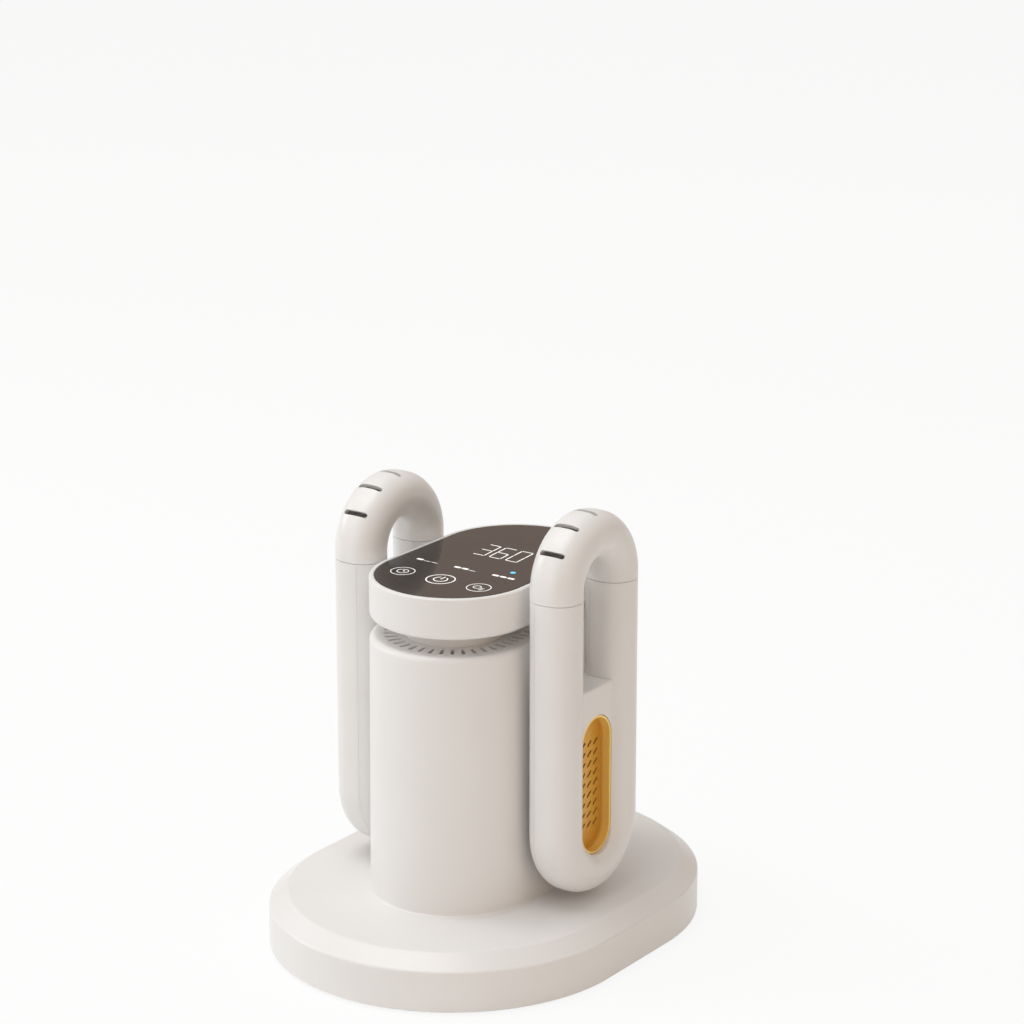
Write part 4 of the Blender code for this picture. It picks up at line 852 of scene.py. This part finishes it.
@dataclass
class Column:
    """Stadium column with its flared foot, the ring of intake slots and the neck above it."""

    flare: float = 0.0026
    draft: float = 0.0010
    foot_gap: float = 0.00005
    ring_gap: float = 0.00006
    crown: float = 0.0035
    slots_in_bend: int = 19
    slots_in_side: int = 11
    slot_length: float = 0.0080
    slot_margin: float = 0.0018
    slot_round: float = 0.0006
    neck_skin: float = 0.0022
    neck_flange: float = 0.0030

    def __post_init__(self) -> None:
        """Take the outer sizes from the frame."""
        self.low, self.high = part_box("column_shell")
        self.radius = self.high.x - self.flare
        self.run = self.high.y - self.high.x
        self.ring_low, self.ring_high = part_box("intake_grille")
        self.seat = self.ring_low.z - GAP
        self.slot_start = self.ring_high.x - self.slot_margin - self.slot_length

    def casing(self) -> None:
        """The white column."""
        foot, top, seat = self.low.z - GAP + self.foot_gap, self.high.z, self.seat
        mouth = self.ring_high.x + self.ring_gap
        inner = self.radius - SKIN
        outline = [(inner, foot), (self.high.x, foot),
                   (self.radius + self.draft, foot + self.foot_gap, self.flare - self.draft, 8),
                   (self.radius, top, self.crown, 8), (mouth, top), (mouth, seat), (mouth - LEDGE, seat),
                   (mouth - LEDGE, seat - SKIN), (inner, seat - 2 * SKIN)]
        Piece("column_casing", stadium(outline, self.run)).dress(WHITE, HOUSING, "column_shell")

    def intake_ring(self) -> None:
        """The flat ring with radial slots, a third of each pitch wide."""
        radii = (NECK_RADIUS + GAP, self.slot_start, self.slot_start + self.slot_length, self.ring_high.x)
        shape = bmesh.new()
        ring = trace(shape, [(radius, self.high.z) for radius in radii], False)
        bmesh.ops.translate(shape, vec=(0.0, -self.run, 0.0), verts=shape.verts)
        for end in (1, -1):
            for _ in range(3 * self.slots_in_side):
                ring = pull(shape, ring, (0.0, 2 * self.run * end / (3 * self.slots_in_side), 0.0))
            ring = turn(shape, ring, (0.0, self.run * end, 0.0), (0.0, 0.0, 1.0), math.pi,
                        3 * self.slots_in_bend)
        bmesh.ops.remove_doubles(shape, verts=shape.verts, dist=MERGE)
        self.open_slots(shape)
        bmesh.ops.recalc_face_normals(shape, faces=shape.faces)
        if shape.faces[0].normal.z < 0:
            bmesh.ops.reverse_faces(shape, faces=shape.faces)
        below = bmesh.ops.extrude_face_region(shape, geom=shape.faces[:], use_keep_orig=True)["geom"]
        shift(shape, below, (0.0, 0.0, self.ring_low.z - self.high.z))
        Piece("intake_ring", clean(shape)).dress(WHITE, HOUSING, "intake_grille")

    def open_slots(self, shape: BMesh) -> None:
        """Take the middle face of every third column away and round the holes' corners."""
        band = []
        for face in shape.faces:
            middle = face.calc_center_median()
            centre = Vector((0.0, max(-self.run, min(self.run, middle.y)), middle.z))
            if 0.0 < (middle - centre).length - self.slot_start < self.slot_length:
                band.append((self.way_round(middle), face))
        band.sort(key=lambda item: item[0])
        holes = [face for index, (_, face) in enumerate(band) if index % 3 == 1]
        corners = {point for face in holes for point in face.verts}
        bmesh.ops.delete(shape, geom=holes, context="FACES")
        bevel(shape, list(corners), self.slot_round, 2)

    def way_round(self, point: Vector) -> float:
        """How far along the stadium a point lies, from the right side's middle."""
        if abs(point.y) <= self.run:
            along = point.y if point.x > 0 else 2 * self.run + math.pi * NECK_RADIUS - point.y
        else:
            end = math.copysign(self.run, point.y)
            arc = math.atan2(point.y - end, point.x) * NECK_RADIUS
            along = end + arc if end > 0 else 3 * self.run + arc % (2 * math.pi * NECK_RADIUS)
        return along % (4 * self.run + 2 * math.pi * NECK_RADIUS)

    def neck(self) -> None:
        """The waist between column and head, with its two hidden flanges."""
        low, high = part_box("neck_tube")
        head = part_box("head_housing")[0].z + SKIN + GAP
        inner, radius, flange = NECK_RADIUS - self.neck_skin, NECK_RADIUS, NECK_RADIUS + self.neck_flange
        outline = [(inner, low.z), (flange, low.z), (flange, self.seat), (radius, self.seat), (radius, head),
                   (high.x, head), (high.x, high.z), (inner, high.z)]
        Piece("neck_moulding", stadium(outline, self.run)).dress(WHITE, HOUSING, "neck_tube")

    def build(self) -> None:
        """Make every piece of the column."""
        self.casing()
        self.intake_ring()
        self.neck()


@dataclass
class Head:
    """Shallow stadium cup with the smoked glass let into its top."""

    foot_round: float = 0.0036
    rim_round: float = 0.0012
    lip_round: float = 0.0003
    glass_round: float = 0.0004

    def __post_init__(self) -> None:
        """Take the outer sizes from the frame."""
        self.low, self.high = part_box("head_housing")
        self.glass_low, self.glass_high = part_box("touch_glass")
        self.run = self.high.y - self.high.x

    def cup(self) -> None:
        """The white housing."""
        radius, foot, top = self.high.x, self.low.z, self.high.z
        glass, seat = self.glass_high.x + GAP, self.glass_low.z - GAP
        neck, floor = NECK_RADIUS + GAP, foot + SKIN
        outline = [(neck, foot, self.lip_round, 2), (radius, foot, self.foot_round, 10),
                   (radius, top, self.rim_round, 5), (glass, top, self.lip_round, 2), (glass, seat),
                   (glass - LEDGE, seat), (glass - LEDGE, seat - SKIN / 2), (radius - SKIN, seat - SKIN),
                   (radius - SKIN, foot + self.foot_round), (radius - 2 * SKIN, floor), (neck, floor)]
        Piece("head_casing", stadium(outline, self.run)).dress(WHITE, HOUSING, "head_housing")

    def glass(self) -> None:
        """The smoked glass."""
        radius, foot, top = self.glass_high.x, self.glass_low.z, self.glass_high.z
        outline = [(0.0, foot), (radius, foot), (radius, top, self.glass_round, 3), (0.0, top)]
        Piece("smoked_glass", stadium(outline, self.run, closed=False)).dress(GLASS, HOUSING, "touch_glass")

    def build(self) -> None:
        """Make the housing and the glass."""
        self.cup()
        self.glass()


class Key(Enum):
    """The signs inside the touch rings."""

    TIMER = "timer"
    POWER = "power"
    AIR = "air"


SIGN_CURLS = {          # across, up and radius by the sign's size; start and sweep in degrees
    Key.TIMER: ((0.0, 0.0, 1.0, 0.0, FULL_TURN),),
    Key.POWER: ((0.0, 0.0, 1.0, 120.0, 300.0),),
    Key.AIR: ((-0.35, 0.10, 0.70, 0.0, FULL_TURN),),
}
SIGN_BARS = {           # both ends, by the sign's size
    Key.TIMER: ((0.0, 0.0, 0.0, 0.62), (0.0, 0.0, 0.50, 0.0)),
    Key.POWER: ((0.0, 0.0, 0.0, 1.15),),
    Key.AIR: tuple((0.45, -drop, 1.10, 0.22 - drop) for drop in (0.20, 0.60, 1.00)),
}
SEGMENTS = {"a": ((0, 2), (1, 2)), "b": ((1, 2), (1, 1)), "c": ((1, 1), (1, 0)), "d": ((0, 0), (1, 0)),
            "e": ((0, 1), (0, 0)), "f": ((0, 2), (0, 1)), "g": ((0, 1), (1, 1))}
GLYPHS = {"0": "abcdef", "3": "abcdg", "6": "acdefg"}


@dataclass
class Panel:
    """White marks on the glass: touch rings, level bars, digits and the mode lamp."""

    keys: tuple = ((Key.TIMER, -0.0256, 0.0070, 0.00045), (Key.POWER, 0.0003, 0.0084, 0.00065),
                   (Key.AIR, 0.0262, 0.0070, 0.00045))      # place across, ring's radius and width of stroke
    key_line: float = -0.0426
    sign_share: float = 0.50
    levels: tuple = (-0.0256, 0.0003, 0.0262)
    level_line: float = -0.0195
    level_bar: tuple = (0.0042, 0.0020)
    level_pitch: float = 0.0052
    level_cut: float = 0.10
    thin_line: float = 0.00045
    reading: str = "360"
    digit_start: Place = (-0.0133, 0.0065)
    digit_size: Place = (0.0076, 0.0190)
    digit_pitch: float = 0.0111
    digit_line: float = 0.00070
    digit_break: float = 0.35
    slant: float = -0.08
    lamp: Place = (0.0260, -0.0100)
    lamp_radius: float = 0.0016
    proud: float = 0.00006

    def __post_init__(self) -> None:
        """Find the glass's top."""
        self.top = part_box("touch_glass")[1].z

    def bar(self, start: Place, end: Place, width: float, point: float = 0.45) -> BMesh:
        """A straight stroke between two places on the glass, its corners cut by a share of its width."""
        way = Vector(end) - Vector(start)
        half = way.length / 2
        outline = rectangle((-half, -width / 2), (half, width / 2), width * point, 1)
        middle = (Vector(end) + Vector(start)) / 2
        place = Matrix.Translation((*middle, self.top)) @ Matrix.Rotation(math.atan2(way.y, way.x), 4, "Z")
        return moved(plate(outline, -self.proud, self.proud), place)

    def curl(self, centre: Place, radius: float, width: float, start: float, sweep: float) -> BMesh:
        """A stroke along an arc, angles in degrees; a full turn gives a ring."""
        shape = bmesh.new()
        ring = trace(shape, rectangle((radius - width, -self.proud), (radius, self.proud)))
        whole = sweep >= FULL_TURN
        bmesh.ops.spin(shape, geom=shape.verts[:] + ring, cent=(0, 0, 0), axis=(0, 0, 1),
                       angle=math.radians(sweep), steps=CURL_STEPS, use_merge=whole)
        place = Matrix.Translation((*centre, self.top)) @ Matrix.Rotation(math.radians(start), 4, "Z")
        return moved(clean(shape) if whole else cap(shape), place)

    def sign(self, key: Key, middle: Place, size: float, line: float) -> list[BMesh]:
        """The strokes of one sign, round its middle.

        Args:
            key: which sign.
            middle: where its middle is.
            size: half of its width.
            line: the strokes' width.

        Returns:
            The strokes.
        """
        def at(across: float, up: float) -> Place:
            """A place on the glass, from one by the sign's size."""
            return middle[0] + across * size, middle[1] + up * size

        curls = [self.curl(at(across, up), radius * size, line, start, sweep)
                 for across, up, radius, start, sweep in SIGN_CURLS[key]]
        return curls + [self.bar(at(*ends[:2]), at(*ends[2:]), line) for ends in SIGN_BARS[key]]

    def touch_keys(self) -> None:
        """Three ringed signs."""
        for key, across, radius, line in self.keys:
            middle = (across, self.key_line)
            strokes = [self.curl(middle, radius, line, 0.0, FULL_TURN),
                       *self.sign(key, middle, radius * self.sign_share, line)]
            Piece(f"{key.value}_key_mark", gathered(strokes)).dress(LIT, HOUSING)

    def level_bars(self) -> None:
        """Rows of three bars for the three modes, with one, two and three of them filled."""
        bars = []
        width, height = self.level_bar
        lift = Vector((0.0, (height - self.thin_line) / 2))
        for filled, middle in enumerate(self.levels, start=1):
            for index in range(3):
                left = Vector((middle + (index - 1) * self.level_pitch - width / 2, self.level_line))
                right = left + Vector((width, 0.0))
                if index < filled:
                    bars.append(self.bar(left, right, height, self.level_cut))
                else:
                    bars.append(self.bar(left - lift, right - lift, self.thin_line, self.level_cut))
        Piece("level_marks", gathered(bars)).dress(LIT, HOUSING)

    def digits(self) -> None:
        """Seven-segment digits that lean to the right."""
        wide, tall = self.digit_size
        strokes = []
        for place, sign in enumerate(self.reading):
            left = self.digit_start[0] + place * self.digit_pitch
            for segment in GLYPHS[sign]:
                points = []
                for across, up in SEGMENTS[segment]:
                    height = up * tall / 2
                    along = left + across * wide + self.slant * height
                    points.append(Vector((along, self.digit_start[1] + height)))
                inset = (points[1] - points[0]).normalized() * self.digit_line * self.digit_break
                strokes.append(self.bar(points[0] + inset, points[1] - inset, self.digit_line))
        Piece("time_digits", gathered(strokes)).dress(LIT, HOUSING)

    def mode_lamp(self) -> None:
        """The small cyan lamp by the third mode."""
        outline = [(0.0, -self.proud), (self.lamp_radius, -self.proud), (self.lamp_radius, self.proud),
                   (0.0, self.proud)]
        place = Matrix.Translation((*self.lamp, self.top))
        Piece("mode_lamp", moved(turned(outline, closed=False, steps=32), place)).dress(CYAN, HOUSING)

    def build(self) -> None:
        """Make every mark."""
        self.touch_keys()
        self.level_bars()
        self.digits()
        self.mode_lamp()


@dataclass
class Arm:
    """Loop arm beside the column: two shells, the gold dish, collars, mount and the hoop that pulls up.

    It is modelled as the right arm and mirrored for the left.
    """

    side: str = "right"
    limb_width: float = 0.0265
    seam_gap: float = 0.00012
    web_radius: float = 0.0280
    web_rise: float = 0.0810
    web_recess: float = 0.0060
    web_set_in: float = 0.0005
    web_round: float = 0.0012
    vent_rows: int = 9
    vent_columns: int = 4
    vent_pitch: float = 0.0060
    vent_size: tuple = (0.0050, 0.0014)
    vent_tilt: float = 38.0
    dish_skin: float = 0.0013
    dish_edge: float = 0.00035
    hoop_slots: int = 5
    hoop_slot_size: tuple = (0.0160, 0.0030)
    hoop_slot_sweep: float = 108.0
    foot_inset: float = 0.0058
    foot_rise: float = 0.0040
    leg_inset: float = 0.0088
    leg_skin: float = 0.0018
    collar_wall: float = 0.0012
    flange_step: float = 0.0040
    pipe_skin: float = 0.0016
    pipe_round: float = 0.0004
    seal_round: float = 0.0003

    def __post_init__(self) -> None:
        """Take places and outer sizes from the frame's right arm."""
        self.back_low, self.back_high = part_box("arm_right_back")
        self.front_low, self.front_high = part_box("arm_right_shell")
        self.hoop_low, self.hoop_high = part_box("arm_right_hoop")
        self.left = self.side == "left"
        self.depth = self.front_high.x - self.back_low.x
        self.middle = (self.front_high.x + self.back_low.x) / 2
        self.radius = self.front_high.y
        self.track = self.radius - self.limb_width / 2
        self.bend_z = self.front_low.z + self.radius
        self.mouth = self.front_high.z
        self.arch_z = self.hoop_high.z - self.radius
        self.web_front = self.front_high.x - self.web_recess

    def loop(self, inset: float, mouth: float) -> BMesh:
        """The lower loop as a solid, set in all round: down one limb, round the bend and up the other."""
        tube = Tube(self.depth - 2 * inset, self.limb_width - 2 * inset, (self.middle, self.track, mouth))
        limb = mouth - self.bend_z
        return tube.rise(-limb).bend((self.middle, 0.0, self.bend_z), -math.pi).rise(limb).close()

    def tongue(self, radius: float, low: float, high: float, top: float, soft: float = 0.0) -> BMesh:
        """A slab with a round foot and a flat top, inside the loop."""
        foot = self.bend_z - radius
        outline = [(-radius, foot, radius, SLOT_STEPS), (radius, foot, radius, SLOT_STEPS), (radius, top),
                   (-radius, top)]
        shape = moved(plate(outline, low, high), STAND)
        if soft:
            edges = [edge for edge in shape.edges if all(point.co.z > top - GAP for point in edge.verts)
                     and abs(edge.verts[0].co.y - edge.verts[1].co.y) > radius]
            bevel(shape, edges, soft, 4, "EDGES")
        return shape

    def oval(self, inset: float, low: float, high: float) -> BMesh:
        """A stadium slab on edge, set in from the gold dish's outline."""
        low_corner, high_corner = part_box("arm_right_grille")
        radius = high_corner.y - inset
        middle, half = (low_corner.z + high_corner.z) / 2, (high_corner.z - low_corner.z) / 2 - inset
        outline = rectangle((-radius, middle - half), (radius, middle + half), radius, SLOT_STEPS)
        return moved(plate(outline, low, high), STAND)

    def shells(self) -> None:
        """Front shell and back cover, parted along one plane."""
        whole = Piece("arm", self.loop(0.0, self.mouth))
        web_back, web_front = self.back_low.x + self.web_set_in, self.web_front
        top = self.bend_z + self.web_rise
        whole.combine(self.tongue(self.web_radius, web_back, web_front, top, self.web_round), Operation.JOIN)
        whole.combine(self.loop(SKIN, self.mouth + SKIN))
        inner = self.web_radius - SKIN - self.leg_skin
        whole.combine(self.tongue(inner, web_back + SKIN, web_front - SKIN, top - SKIN))
        whole.combine(self.oval(-GAP, web_front - 2 * SKIN, web_front + self.depth))
        seam = self.back_high.x + GAP / 2
        for label, low, high, node in (("front", -FAR, seam + self.seam_gap / 2, "shell"),
                                       ("back", seam - self.seam_gap / 2, FAR, "back")):
            part = whole.copy(f"{self.side}_arm_{label}")
            part.combine(block((low, -FAR, -FAR), (high, FAR, FAR)))
            part.mirrored(self.left).dress(WHITE, HOUSING, f"arm_{self.side}_{node}")
        bpy.data.objects.remove(whole.obj, do_unlink=True)

    def dish(self) -> None:
        """The gold pan with slanted vents in its floor."""
        low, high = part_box("arm_right_grille")
        wall = self.dish_skin
        piece = Piece(f"{self.side}_gold_dish", self.oval(0.0, low.x, high.x))
        piece.combine(self.oval(wall, low.x + wall, high.x + wall))
        tilt = Matrix.Rotation(math.radians(self.vent_tilt), 4, "X")
        vents = []
        for row in range(self.vent_rows):
            for column in range(self.vent_columns):
                y = (column - (self.vent_columns - 1) / 2) * self.vent_pitch
                z = low.z + high.y + row * self.vent_pitch
                vent = moved(plate(pill(*self.vent_size, 4), low.x - wall, low.x + 2 * wall), STAND)
                vents.append(moved(vent, Matrix.Translation((0.0, y, z)) @ tilt))
        piece.combine(gathered(vents)).softened(self.dish_edge)
        piece.mirrored(self.left).dress(GOLD, HOUSING, f"arm_{self.side}_grille")

    def hoop(self) -> None:
        """The hoop: two stepped legs under an arch with cross slots."""
        foot_low, foot_rise, seat = self.hoop_low.z, self.foot_rise, self.mouth + GAP
        insets = (0.0, self.foot_inset, self.leg_inset, self.leg_inset + 2 * self.leg_skin, 2 * SKIN)
        arch, foot, leg, bore, hollow = ((self.depth - inset, self.limb_width - inset) for inset in insets)
        centre = (self.middle, 0.0, self.arch_z)
        low, high = seat - foot_low - foot_rise, self.arch_z - seat
        tube = Tube(*foot, (self.middle, self.track, foot_low))
        tube.rise(foot_rise).become(*leg).rise(low).become(*arch).rise(high).bend(centre, math.pi)
        tube.rise(-high).become(*leg).rise(-low).become(*foot).rise(-foot_rise)
        low, high = seat + SKIN - foot_low + foot_rise, self.arch_z - seat - SKIN
        inside = Tube(*bore, (self.middle, self.track, foot_low - foot_rise))
        inside.rise(low).become(*hollow).rise(high).bend(centre, math.pi)
        inside.rise(-high).become(*bore).rise(-low)
        piece = Piece(f"{self.side}_hoop", tube.close()).combine(inside.close()).combine(self.cross_slots())
        piece.mirrored(self.left).dress(WHITE, f"{self.side}_hoop", f"arm_{self.side}_hoop")

    def cross_slots(self) -> BMesh:
        """Cutters for the slots across the arch."""
        slots = []
        for index in range(self.hoop_slots):
            angle = math.radians((index / (self.hoop_slots - 1) - 0.5) * self.hoop_slot_sweep)
            place = Matrix.Translation((self.middle, 0.0, self.arch_z)) @ Matrix.Rotation(angle, 4, "X")
            slots.append(moved(plate(pill(*self.hoop_slot_size, 6), self.track, self.radius + SKIN), place))
        return gathered(slots)

    def collars(self) -> None:
        """The bushes that guide the hoop's legs, at the limbs' mouths."""
        wall = self.collar_wall
        for end, sign in (("back", 1), ("front", -1)):
            collar = box(f"arm_right_collar_{end}")
            place = Matrix.Translation((self.middle, sign * self.track, 0.0))
            outer, inner = (moved(plate(pill(collar.size.x - 2 * inset, collar.size.y - 2 * inset, 12),
                                        collar.low.z - inset, collar.high.z + inset), place)
                            for inset in (0.0, wall))
            piece = Piece(f"{self.side}_collar_{end}", outer).combine(inner)
            piece.mirrored(self.left).dress(BLACK, HOUSING, f"arm_{self.side}_collar_{end}")

    def mount(self) -> None:
        """The flanged air spigot and the seal that it presses on the column."""
        for name, node, finish in (("spigot", "mount", GREY), ("seal", "seal", RUBBER)):
            part = box(f"arm_right_{node}")
            flange, length, soft = part.high.y, part.size.x, self.pipe_round
            pipe = flange - self.flange_step
            if finish is GREY:
                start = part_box("arm_right_seal")[1].x + GAP - part.low.x
                end = self.back_low.x - GAP - part.low.x
                bore = pipe - self.pipe_skin
                outline = [(bore, 0.0), (pipe, 0.0, soft, 2), (pipe, start), (flange, start, soft, 2),
                           (flange, end, soft, 2), (pipe, end), (pipe, length, soft, 2), (bore, length)]
            else:
                outline = rectangle((pipe + GAP, 0.0), (flange, length), self.seal_round, 2)
            piece = Piece(f"{self.side}_{name}", moved(turned(outline), part.place(x=part.low.x) @ ALONG_X))
            piece.mirrored(self.left).dress(finish, HOUSING, f"arm_{self.side}_{node}")

    def screws(self) -> None:
        """The screws in the back cover."""
        for end in ("back", "front"):
            screw = box(f"arm_right_screw_{end}")
            name, node = f"{self.side}_cover_screw_{end}", f"arm_{self.side}_screw_{end}"
            Fastener().set_in(name, node, screw.place(x=screw.low.x) @ ALONG_X, self.left)

    def build(self) -> None:
        """Make every piece of the arm."""
        self.shells()
        self.dish()
        self.hoop()
        self.collars()
        self.mount()
        self.screws()


class Insides:
    """The solids that keep their own shape: fan, heater, boards, frames and wires."""

    def build(self) -> None:
        """Give every solid the finish of its slot."""
        slots = {row["node"]: row["material_slot"] for row in frame["record"]["subparts"]}
        for name, obj in frame["nodes"].items():
            finish = BY_SLOT[slots[name]]
            obj.data.materials.clear()
            obj.data.materials.append(finish.material())
            LOG.info("%s wears %s", name, finish.name)


# Studio

@dataclass(frozen=True)
class Lamp:
    """A square soft light."""

    name: str
    place: Point
    size: float
    power: float
    colour: Colour = (1.0, 1.0, 1.0)

    def build(self, target: Point) -> None:
        """Set the lamp up, aimed at a target."""
        data = bpy.data.lights.new(self.name, "AREA")
        data.size = self.size
        data.energy = self.power
        data.color = self.colour
        lamp = bpy.data.objects.new(self.name, data)
        lamp.location = self.place
        lamp.rotation_euler = (Vector(target) - Vector(self.place)).to_track_quat("-Z", "Y").to_euler()
        bpy.context.scene.collection.objects.link(lamp)


@dataclass
class Studio:
    """Pale floor, white surroundings, soft lamps and the camera at the photograph's view."""

    lamps: tuple[Lamp, ...] = (Lamp("key", (-2.2, -0.85, 1.15), 0.8, 9.6, (0.97, 0.99, 1.0)),
                               Lamp("top", (-0.5, -0.5, 2.4), 1.6, 26.0, (0.95, 0.98, 1.0)),
                               Lamp("front", (-0.4, -1.95, 0.55), 1.2, 3.2, (1.0, 0.96, 0.92)),
                               Lamp("fill", (1.9, -0.8, 0.45), 1.2, 3.4, (1.0, 0.66, 0.40)))
    floor_size: float = 30.0
    floor_colour: Colour = (0.90, 0.89, 0.88)
    floor_rough: float = 0.85
    floor_gloss: float = 0.1
    floor_glow: float = 0.88
    background: Colour = (1.0, 1.0, 1.0)
    open_side: Colour = (0.60, 0.60, 0.60)
    warm_side: Colour = (0.38, 0.28, 0.19)
    overhead: Colour = (0.52, 0.51, 0.50)
    side: Point = (0.816, 0.578, 0.0)
    side_range: Place = (-0.9, 0.35)
    overhead_range: Place = (0.10, 0.70)
    low_gloss: Colour = (0.49, 0.33, 0.235)
    high_gloss: Colour = (1.0, 0.99, 0.98)
    gloss_range: tuple = (0.15, 0.90, 0.05, 0.90)
    target: Point = (0.0, 0.0, 0.10)
    camera_place: Point = (1.0813, -1.5021, 0.7986)
    camera_turn: tuple = (73.358, 0.0, 35.288)
    lens: float = 122.06
    sensor: float = 36.0
    sight: float = 60.0

    def rays(self, board: Board, *kinds: str) -> Socket:
        """1 for rays of the given kinds and 0 for others."""
        path = board.add("ShaderNodeLightPath").outputs
        return reduce(lambda share, kind: board.math("MAXIMUM", share, path[kind]), kinds[1:], path[kinds[0]])

    def floor(self) -> None:
        """The floor, which the camera, glass and gloss see brighter than it is lit."""
        shape = bmesh.new()
        bmesh.ops.create_grid(shape, x_segments=1, y_segments=1, size=self.floor_size / 2)
        floor = Piece("floor", shape).obj
        material = bpy.data.materials.new("pale_floor")
        material.use_nodes = True
        board = Board(material.node_tree)
        shader = board.tree.nodes["Principled BSDF"]
        board.feed(shader, {"Base Color": (*self.floor_colour, 1.0), "Roughness": self.floor_rough,
                            "Specular IOR Level": self.floor_gloss})
        glow = board.add("ShaderNodeEmission", {"Color": (*self.background, 1.0)})
        seen = self.rays(board, "Is Camera Ray", "Is Transmission Ray", "Is Glossy Ray")
        mixed = board.add("ShaderNodeMixShader", {0: board.math("MULTIPLY", seen, self.floor_glow),
                                                  1: shader.outputs["BSDF"], 2: glow.outputs["Emission"]})
        board.feed(board.tree.nodes["Material Output"], {"Surface": mixed.outputs["Shader"]})
        floor.data.materials.append(material)

    def surroundings(self) -> None:
        """White to the camera and through glass, warm to gloss, and light that is dimmer from the right."""
        world = bpy.data.worlds.new("studio")
        bpy.context.scene.world = world
        world.use_nodes = True
        board = Board(world.node_tree)
        toward = board.add("ShaderNodeTexCoord").outputs["Generated"]
        up = board.split(toward)["Z"]
        across = board.add("ShaderNodeVectorMath", {0: toward, 1: self.side}, operation="DOT_PRODUCT")
        away = board.spread(across.outputs["Value"], *self.side_range)
        around = board.mix(away, self.open_side, self.warm_side)
        ambient = board.mix(board.spread(up, *self.overhead_range), around, self.overhead)
        room = board.mix(board.spread(up, *self.gloss_range), self.low_gloss, self.high_gloss)
        lit = board.mix(self.rays(board, "Is Glossy Ray"), ambient, room)
        seen = self.rays(board, "Is Camera Ray", "Is Transmission Ray")
        board.feed(board.tree.nodes["Background"], {"Color": board.mix(seen, lit, self.background)})

    def camera(self) -> None:
        """The camera at the photograph's view."""
        data = bpy.data.cameras.new("photo_view")
        data.lens = self.lens
        data.sensor_width = self.sensor
        data.clip_end = self.sight
        camera = bpy.data.objects.new("photo_view", data)
        camera.location = self.camera_place
        camera.rotation_euler = [math.radians(angle) for angle in self.camera_turn]
        bpy.context.scene.collection.objects.link(camera)
        bpy.context.scene.camera = camera

    def build(self) -> None:
        """Set up the whole studio."""
        bpy.context.scene.view_settings.view_transform = "Standard"
        self.camera()
        self.floor()
        self.surroundings()
        for lamp in self.lamps:
            lamp.build(self.target)


def main() -> None:
    """Dress the solids, model the visible shells and set up the studio."""
    logging.basicConfig(level=logging.INFO, format="%(message)s")
    Studio().build()
    Insides().build()
    for assembly in (Base(), Column(), Head(), Panel(), Arm("right"), Arm("left")):
        assembly.build()
        LOG.info("%s done", type(assembly).__name__)


if __name__ == "__main__":
    main()
